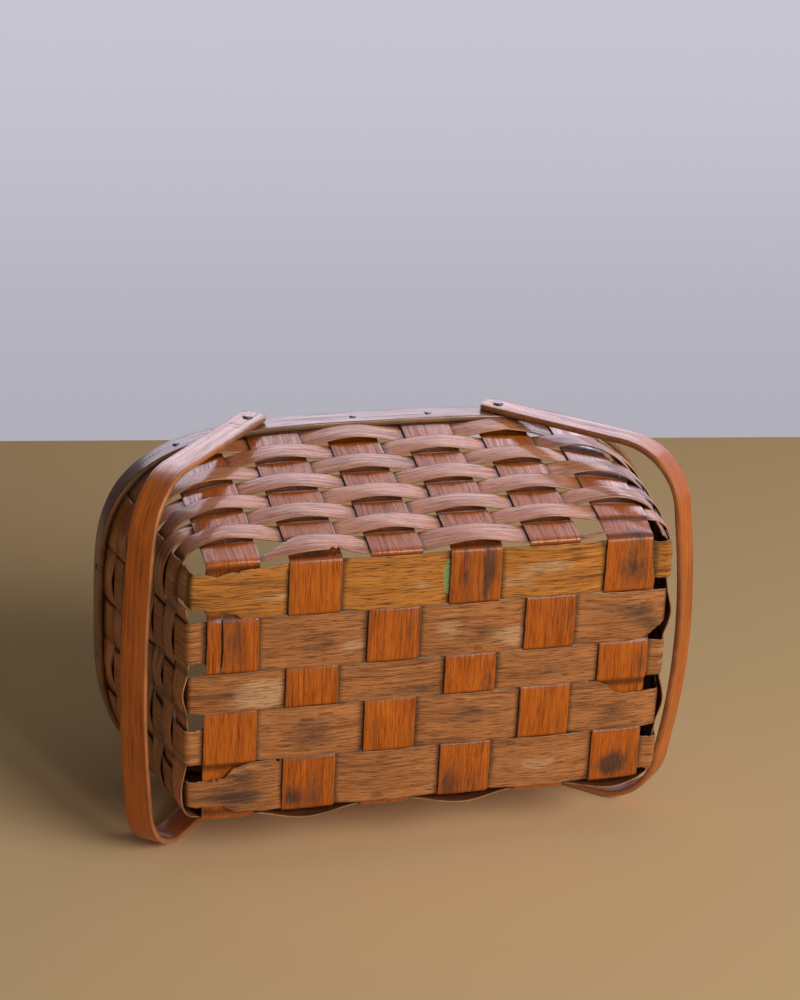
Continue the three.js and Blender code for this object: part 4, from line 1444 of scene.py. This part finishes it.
def make_handles():
    wall, rim, sizes = Wall(), settings("rim"), settings("handle")
    seed = settings("wear").seed + 80
    inner_leg = leg_inner_face(wall, sizes.right_pivot)
    line = handle_line(inner_leg)
    across = np.linspace(-sizes.width / 2, sizes.width / 2, POINTS_ACROSS)
    pivot_z = rim.height - rim.hoop / 2
    local_x, y = np.broadcast_arrays(across[None, :], line[:, :1])
    local_z = np.broadcast_to(line[:, 1:], y.shape)
    for name, side, pivot in (
        ("left_handle", -1, sizes.left_pivot),
        ("right_handle", 1, sizes.right_pivot),
    ):
        angle = math.pi / 2 + hang_of(name, side, pivot)
        cos, sin = math.cos(side * angle), math.sin(side * angle)
        x = side * pivot + local_x * cos + local_z * sin
        z = pivot_z - local_x * sin + local_z * cos
        path = Path(np.stack([x, y, z], -1), across)
        s = path.length
        near_end = np.minimum(s, s[-1] - s)
        r = END_ROUND
        rounding = r - np.sqrt(np.maximum(r * r - (r - near_end) ** 2, 0))
        trim = np.where(near_end < r, rounding, 0)
        edges = [edge + trim for edge in worn_edges(path, seed + 7 * side, HANDLE_SWAY)]
        marks = [("stained", at - s[-1] / 2, *rest) for at, *rest in HANDLE_CRACKS if side < 0]
        strip = name + "_strip"
        mesh = sheet(
            strip, path, np.zeros(len(line)), HANDLE_LIE.radius, seed + side, edges, marks=marks,
            columns=5,
        )
        rivets = [(side * pivot, v * (inner_leg + sizes.thickness / 2), pivot_z) for v in (-1, 1)]
        bores = (laid(rivets), basket_frame()[0][1], sizes.shank + rim.gap)
        strip_piece(
            strip, mesh, sizes.thickness, HANDLE_LIE, seed + side, finish_for("handle"), name,
            name, bores,
        )


PIN_SIDES = 24

# The nails and rivets: how high their heads stand and how deep their rims are, a nail's shank and
# point, and a rivet's clinched end, with its bevel, its depth and its room in the hoop.
NAIL_HEAD, RIVET_HEAD, HEAD_RIM = 0.0012, 0.0013, 0.0002
NAIL_SHANK, NAIL_POINT = 0.001, 0.001
CLINCH, CLINCH_BEVEL, CLINCH_DEPTH, CLINCH_ROOM = 0.0032, 0.0029, 0.001, 0.0008

# How wide a nail's and a rivet's head are under the rim, as a share of the radius, and their domes
# over it, as shares of the radius and the height.
NAIL_DOME = 0.97, ((0.93, 0.55), (0.62, 0.88), (0.3, 0.98))
RIVET_DOME = 0.96, ((0.94, 0.5), (0.7, 0.85), (0.35, 0.98))

# A pin's edges are sharp from this angle on, in degrees.
SHARP_PIN = 40


def head_profile(shank, radius, height, dome):
    """The profile of a pin's head, from its shank to its top."""
    under, over = dome
    rising = [(radius * r, height * h) for r, h in over]
    return [(shank, 0), (radius * under, 0), (radius, HEAD_RIM), *rising, (0, height)]


def turned_pin(name, profile):
    """A solid turned about z. Its profile of (radius, height) starts and ends on the axis."""
    sides = PIN_SIDES
    angles = np.linspace(0, 2 * math.pi, sides, endpoint=False)
    points, faces, rings = [], [], []
    for radius, height in profile:
        if radius == 0:
            rings.append([len(points)])
            points.append((0, 0, height))
        else:
            rings.append(list(range(len(points), len(points) + sides)))
            points += [(radius * math.cos(t), radius * math.sin(t), height) for t in angles]
    for lower, upper in zip(rings, rings[1:]):
        for k in range(sides):
            n = (k + 1) % sides
            if len(lower) == 1:
                faces.append((lower[0], upper[n], upper[k]))
            elif len(upper) == 1:
                faces.append((lower[k], lower[n], upper[0]))
            else:
                faces.append((lower[k], lower[n], upper[n], upper[k]))
    mesh = bpy.data.meshes.new(name)
    mesh.from_pydata(points, [], faces)
    mesh.shade_smooth()
    mesh.set_sharp_from_angle(angle=math.radians(SHARP_PIN))
    return mesh


def set_pins(name, profile, places, directions, nodes):
    """One piece of like pins, each set at its place along its direction."""
    pin = linked(name + "_pin", turned_pin(name + "_pin", profile))
    mesh = bpy.data.meshes.new(name)
    mesh.from_pydata([tuple(p) for p in laid(places)], [], [])
    outward = (np.asarray(directions) @ basket_frame()[0]).reshape(-1).astype(np.float32)
    turns = np.random.default_rng(5).uniform(0, 6.28, len(places)).astype(np.float32)
    mesh.attributes.new("direction", "FLOAT_VECTOR", "POINT").data.foreach_set("vector", outward)
    mesh.attributes.new("turn", "FLOAT", "POINT").data.foreach_set("value", turns)
    made = evaluated(mesh, name, pins_tree(), {"Pin": pin, "Material": finish_for("steel")})
    bpy.data.objects.remove(pin)
    return placed_piece(name, made, "basket", nodes)


def make_fasteners():
    wall, rim, sizes = Wall(), settings("rim"), settings("handle")
    z = rim.height - rim.hoop / 2
    face = HALF_SPLINT + rim.gap + rim.outer
    nailed = ((1, rim.nail_first), (3, rim.nail_middle), (4, rim.nail_middle), (6, rim.nail_last))
    bases = [
        wall.side(wall.cross[stake - 1] + offset, side, z)
        for stake, offset in nailed
        for side in (-1, 1)
    ]
    bases += [wall.end(wall.rows[row - 1], side, z) for row in (2, 4) for side in (-1, 1)]
    directions = [wall.outward(base) for base in bases]
    places = [base + direction * face for base, direction in zip(bases, directions)]
    deep = -(face + HALF_SPLINT + rim.inner / 2)
    nail = [(0, deep), (NAIL_SHANK, deep + NAIL_POINT)]
    nail += head_profile(NAIL_SHANK, rim.nail_head, NAIL_HEAD, NAIL_DOME)
    nodes = [f"rim_nail_{k}" for k in range(1, len(places) + 1)]
    set_pins("rim_nails", nail, places, directions, nodes)
    outer = leg_inner_face(wall, sizes.right_pivot) + sizes.thickness
    shank = sizes.shank
    for name, x_side, pivot in (("left", -1, sizes.left_pivot), ("right", 1, sizes.right_pivot)):
        places = [(x_side * pivot, side * (outer + rim.gap), z) for side in (-1, 1)]
        directions = [(0, side, 0) for side in (-1, 1)]
        inner = wall.side(pivot, 1, rim.height)[1] - HALF_SPLINT - rim.gap - rim.inner
        grip = outer + rim.gap - inner + CLINCH_ROOM
        rivet = [(0, -grip - CLINCH_DEPTH), (shank, -grip - CLINCH_DEPTH)]
        rivet += [(CLINCH_BEVEL, -grip - 0.6 * CLINCH_DEPTH), (CLINCH, -grip), (shank, -grip)]
        rivet += head_profile(shank, sizes.head, RIVET_HEAD, RIVET_DOME)
        nodes = [f"{name}_handle_rivet_{y}" for y in ("upper", "lower")]
        set_pins(f"{name}_handle_rivets", rivet, places, directions, nodes)


# The stage

# The camera in the basket's own frame: its place, its right and its forward direction, and its
# focal length in rows of the picture and in millimetres over the sensor's height.
CAMERA_PLACE = (-0.5072, -0.8004, -1.5623)
CAMERA_RIGHT = (0.96077, -0.04631, -0.27344)
CAMERA_FORWARD = (0.27052, 0.37373, 0.88722)
FOCAL_ROWS = 2486
LENS, SENSOR = 89.5, 36
CLIP_END = 30

# Where the floor meets the backdrop, in pixels right of and below the picture's middle.
MEETING_LINE = ((-400, -59), (400, -63))

# How far the floor reaches either way, and half the backdrop's width and its height.
FLOOR_REACH = 9
BACKDROP_REACH, BACKDROP_HEIGHT = 6, 5

# How much lighter the backdrop grows up to a height, which is painted light, and from where to
# where across it the varnish begins to mirror it, which is a painted reflection.
LIGHTER_BY, LIGHTER_UP_TO = 1.3, 0.5
SHEEN_FROM, SHEEN_FULL = -0.6, -0.15

# The window's place, as its distance back from the meeting line, its height and its shift to the
# right. The window, the front lamp and the top lamp have a size and a tint, and the lamps also a
# place and what they are aimed at.
WINDOW_BACK, WINDOW_HEIGHT, WINDOW_SHIFT = -0.06, 0.88, 0.12
WINDOW_SIZE, WINDOW_TINT = (1.7, 0.7), (0.94, 0.87, 1.0)
FRONT_PLACE, FRONT_AIM, FRONT_SIZE = (1.9, -2.8, 1.75), (0, 0, 0.12), (2.6, 1.8)
FRONT_TINT = (1.0, 0.98, 0.95)
TOP_PLACE, TOP_AIM, TOP_SIZE = (0.3, -0.35, 2.2), (0, 0, 0.2), (1.2, 1.2)
TOP_TINT = (1.0, 1.0, 1.0)
ROOM_TINT = (1.0, 0.93, 0.86)

BLACK = (0, 0, 0)
MATT = {"Roughness": 1.0, "Specular IOR Level": 0}


def stage_card(name, corners):
    """A flat sheet of the stage, with a bare material."""
    mesh = bpy.data.meshes.new(name)
    mesh.from_pydata([tuple(corner) for corner in corners], [], [(0, 1, 2, 3)])
    material, graph, surface = new_finish(name)
    mesh.materials.append(material)
    piece = linked(name, mesh)
    return graph, surface


def backdrop_finish(graph, surface):
    """The camera and the varnish see the backdrop, which lights nothing else. It is clear from
    behind, and lets the room's light through."""
    look = settings("stage")
    seen = graph.node("ShaderNodeLightPath", {}, {}, "Is Camera Ray")
    mirrored = graph.other(seen, "Is Glossy Ray")
    place = graph.node("ShaderNodeTexCoord", {}, {}, "Object")
    across = graph.node("ShaderNodeSeparateXYZ", {}, {0: place}, "X")
    height = graph.other(across, "Z")
    wall = tuple(look.wall)
    lighter = tuple(min(c * LIGHTER_BY, 1) for c in wall)
    # Painted light: the backdrop grows lighter towards its top.
    shade = graph.blend(wall, lighter, graph.between(height, 0.0, LIGHTER_UP_TO))
    # Painted reflection: over part of its width the varnish sees the backdrop glow in the sheen
    # colour.
    shining = graph.between(across, SHEEN_FROM, SHEEN_FULL)
    sheen = graph.blend(BLACK, tuple(look.sheen), shining)
    shade = graph.blend(graph.blend(BLACK, shade, seen), sheen, mirrored)
    graph.fill(
        surface, {"Base Color": BLACK, "Emission Color": shade, "Emission Strength": 1, **MATT}
    )
    behind = graph.node("ShaderNodeNewGeometry", {}, {}, "Backfacing")
    shown = (seen + mirrored) * (1.0 - behind)
    clear = graph.node("ShaderNodeBsdfTransparent")
    end_shader(graph, graph.mixed(shown, clear, Signal(graph, surface.outputs[0])))


def light_room():
    """The room's light, which the camera sees as pale as the backdrop."""
    look = settings("stage")
    world = bpy.data.worlds.new("soft room")
    bpy.context.scene.world = world
    world.use_nodes = True
    graph = Graph(world.node_tree)
    kind = "ShaderNodeBackground"
    lit = graph.node(kind, {}, {"Color": ROOM_TINT, "Strength": look.room})
    pale = graph.node(kind, {}, {"Color": tuple(look.wall), "Strength": 1})
    seen = graph.node("ShaderNodeLightPath", {}, {}, "Is Camera Ray")
    end_shader(graph, graph.mixed(seen, lit, pale))


def hang_lamp(name, place, target, size, watts, tint):
    data = bpy.data.lights.new(name, "AREA")
    data.shape = "RECTANGLE"
    data.size, data.size_y = size
    data.energy, data.color = watts, tint
    lamp = linked(name, data)
    lamp.location = place
    lamp.rotation_euler = (Vector(target) - Vector(place)).to_track_quat("-Z", "Y").to_euler()
    return lamp


def make_stage():
    look, scene = settings("stage"), bpy.context.scene
    axes, _ = basket_frame()
    centre = laid([CAMERA_PLACE])[0]
    right, forward = np.array(CAMERA_RIGHT) @ axes, np.array(CAMERA_FORWARD) @ axes
    upward = np.cross(right, forward)
    up = np.array([0, 0, 1])

    def on_floor(across, down):
        """Where a place in the picture lies on the floor."""
        ray = forward + (right * across - upward * down) / FOCAL_ROWS
        return centre - ray * centre[2] / ray[2]

    left_foot, right_foot = (on_floor(*place) for place in MEETING_LINE)
    foot = (left_foot + right_foot) / 2
    beside = (right_foot - left_foot) / np.linalg.norm(right_foot - left_foot)
    heading = np.cross(up, beside)

    reach, aside = heading * FLOOR_REACH, beside * FLOOR_REACH
    near, far = foot - reach, foot + reach
    graph, surface = stage_card("floor", (near - aside, near + aside, far + aside, far - aside))
    graph.fill(surface, {"Base Color": tuple(look.floor), **MATT})
    rise, aside = up * BACKDROP_HEIGHT, beside * BACKDROP_REACH
    foot_line = foot - aside, foot + aside
    graph, surface = stage_card("backdrop", (*foot_line, foot_line[1] + rise, foot_line[0] + rise))
    backdrop_finish(graph, surface)
    light_room()

    place = foot + heading * WINDOW_BACK + up * WINDOW_HEIGHT + beside * WINDOW_SHIFT
    window = hang_lamp("window", place, place - heading, WINDOW_SIZE, look.back, WINDOW_TINT)
    # The window only shines in the varnish.
    window.visible_diffuse = False
    hang_lamp("front", FRONT_PLACE, FRONT_AIM, FRONT_SIZE, look.front, FRONT_TINT)
    hang_lamp("top", TOP_PLACE, TOP_AIM, TOP_SIZE, look.top, TOP_TINT)

    data = bpy.data.cameras.new("camera")
    data.sensor_fit, data.sensor_height, data.lens = "VERTICAL", SENSOR, LENS
    data.clip_end = CLIP_END
    camera = linked("camera", data)
    turn = Matrix([[right[k], upward[k], -forward[k]] for k in range(3)])
    camera.matrix_world = Matrix.Translation(Vector(centre)) @ turn.to_4x4()
    scene.camera = camera
    scene.view_settings.view_transform = "Standard"


# Operators and panel


class BASKET_OT_cross_splints(bpy.types.Operator):
    """Build the six cross splints"""

    bl_idname = "basket.cross_splints"
    bl_label = "Cross splints"

    def execute(self, context):
        make_cross_stakes()
        return {"FINISHED"}


class BASKET_OT_long_splints(bpy.types.Operator):
    """Build the five lengthwise splints"""

    bl_idname = "basket.long_splints"
    bl_label = "Long splints"

    def execute(self, context):
        make_long_stakes()
        return {"FINISHED"}


class BASKET_OT_weavers(bpy.types.Operator):
    """Build the eight weavers"""

    bl_idname = "basket.weavers"
    bl_label = "Weavers"

    def execute(self, context):
        make_weavers()
        return {"FINISHED"}


class BASKET_OT_hoops(bpy.types.Operator):
    """Build the two rim hoops"""

    bl_idname = "basket.hoops"
    bl_label = "Rim hoops"

    def execute(self, context):
        make_hoops()
        return {"FINISHED"}


class BASKET_OT_handles(bpy.types.Operator):
    """Build the two swing handles"""

    bl_idname = "basket.handles"
    bl_label = "Handles"

    def execute(self, context):
        make_handles()
        return {"FINISHED"}


class BASKET_OT_fasteners(bpy.types.Operator):
    """Set the rim nails and the handle rivets"""

    bl_idname = "basket.fasteners"
    bl_label = "Nails and rivets"

    def execute(self, context):
        make_fasteners()
        return {"FINISHED"}


class BASKET_OT_stage(bpy.types.Operator):
    """Set up the floor, backdrop, lamps and camera"""

    bl_idname = "basket.stage"
    bl_label = "Stage"

    def execute(self, context):
        make_stage()
        return {"FINISHED"}


OPERATORS = (
    BASKET_OT_cross_splints,
    BASKET_OT_long_splints,
    BASKET_OT_weavers,
    BASKET_OT_hoops,
    BASKET_OT_handles,
    BASKET_OT_fasteners,
    BASKET_OT_stage,
)

GROUPS = (
    ("basket_weave", WeaveSizes),
    ("basket_rim", RimSizes),
    ("basket_handle", HandleSizes),
    ("basket_wear", Wear),
    ("basket_colours", Colours),
    ("basket_stage", Stage),
)


class BASKET_PT_parts(bpy.types.Panel):
    """The basket's pieces and their sizes"""

    bl_idname = "BASKET_PT_parts"
    bl_label = "Splint basket"
    bl_space_type = "VIEW_3D"
    bl_region_type = "UI"
    bl_category = "Basket"

    def draw(self, context):
        for operator in OPERATORS:
            self.layout.operator(operator.bl_idname)
        for name, group in GROUPS:
            box = self.layout.box()
            for key in group.__annotations__:
                box.prop(getattr(context.scene, name), key)


def register():
    for name, group in GROUPS:
        bpy.utils.register_class(group)
        setattr(bpy.types.Scene, name, PointerProperty(type=group))
    for cls in (*OPERATORS, BASKET_PT_parts):
        bpy.utils.register_class(cls)


def unregister():
    for cls in reversed((*OPERATORS, BASKET_PT_parts)):
        bpy.utils.unregister_class(cls)
    for name, group in reversed(GROUPS):
        delattr(bpy.types.Scene, name)
        bpy.utils.unregister_class(group)


def main():
    register()
    bpy.ops.basket.cross_splints()
    bpy.ops.basket.long_splints()
    bpy.ops.basket.weavers()
    bpy.ops.basket.hoops()
    bpy.ops.basket.handles()
    bpy.ops.basket.fasteners()
    bpy.ops.basket.stage()


if __name__ == "__main__":
    main()
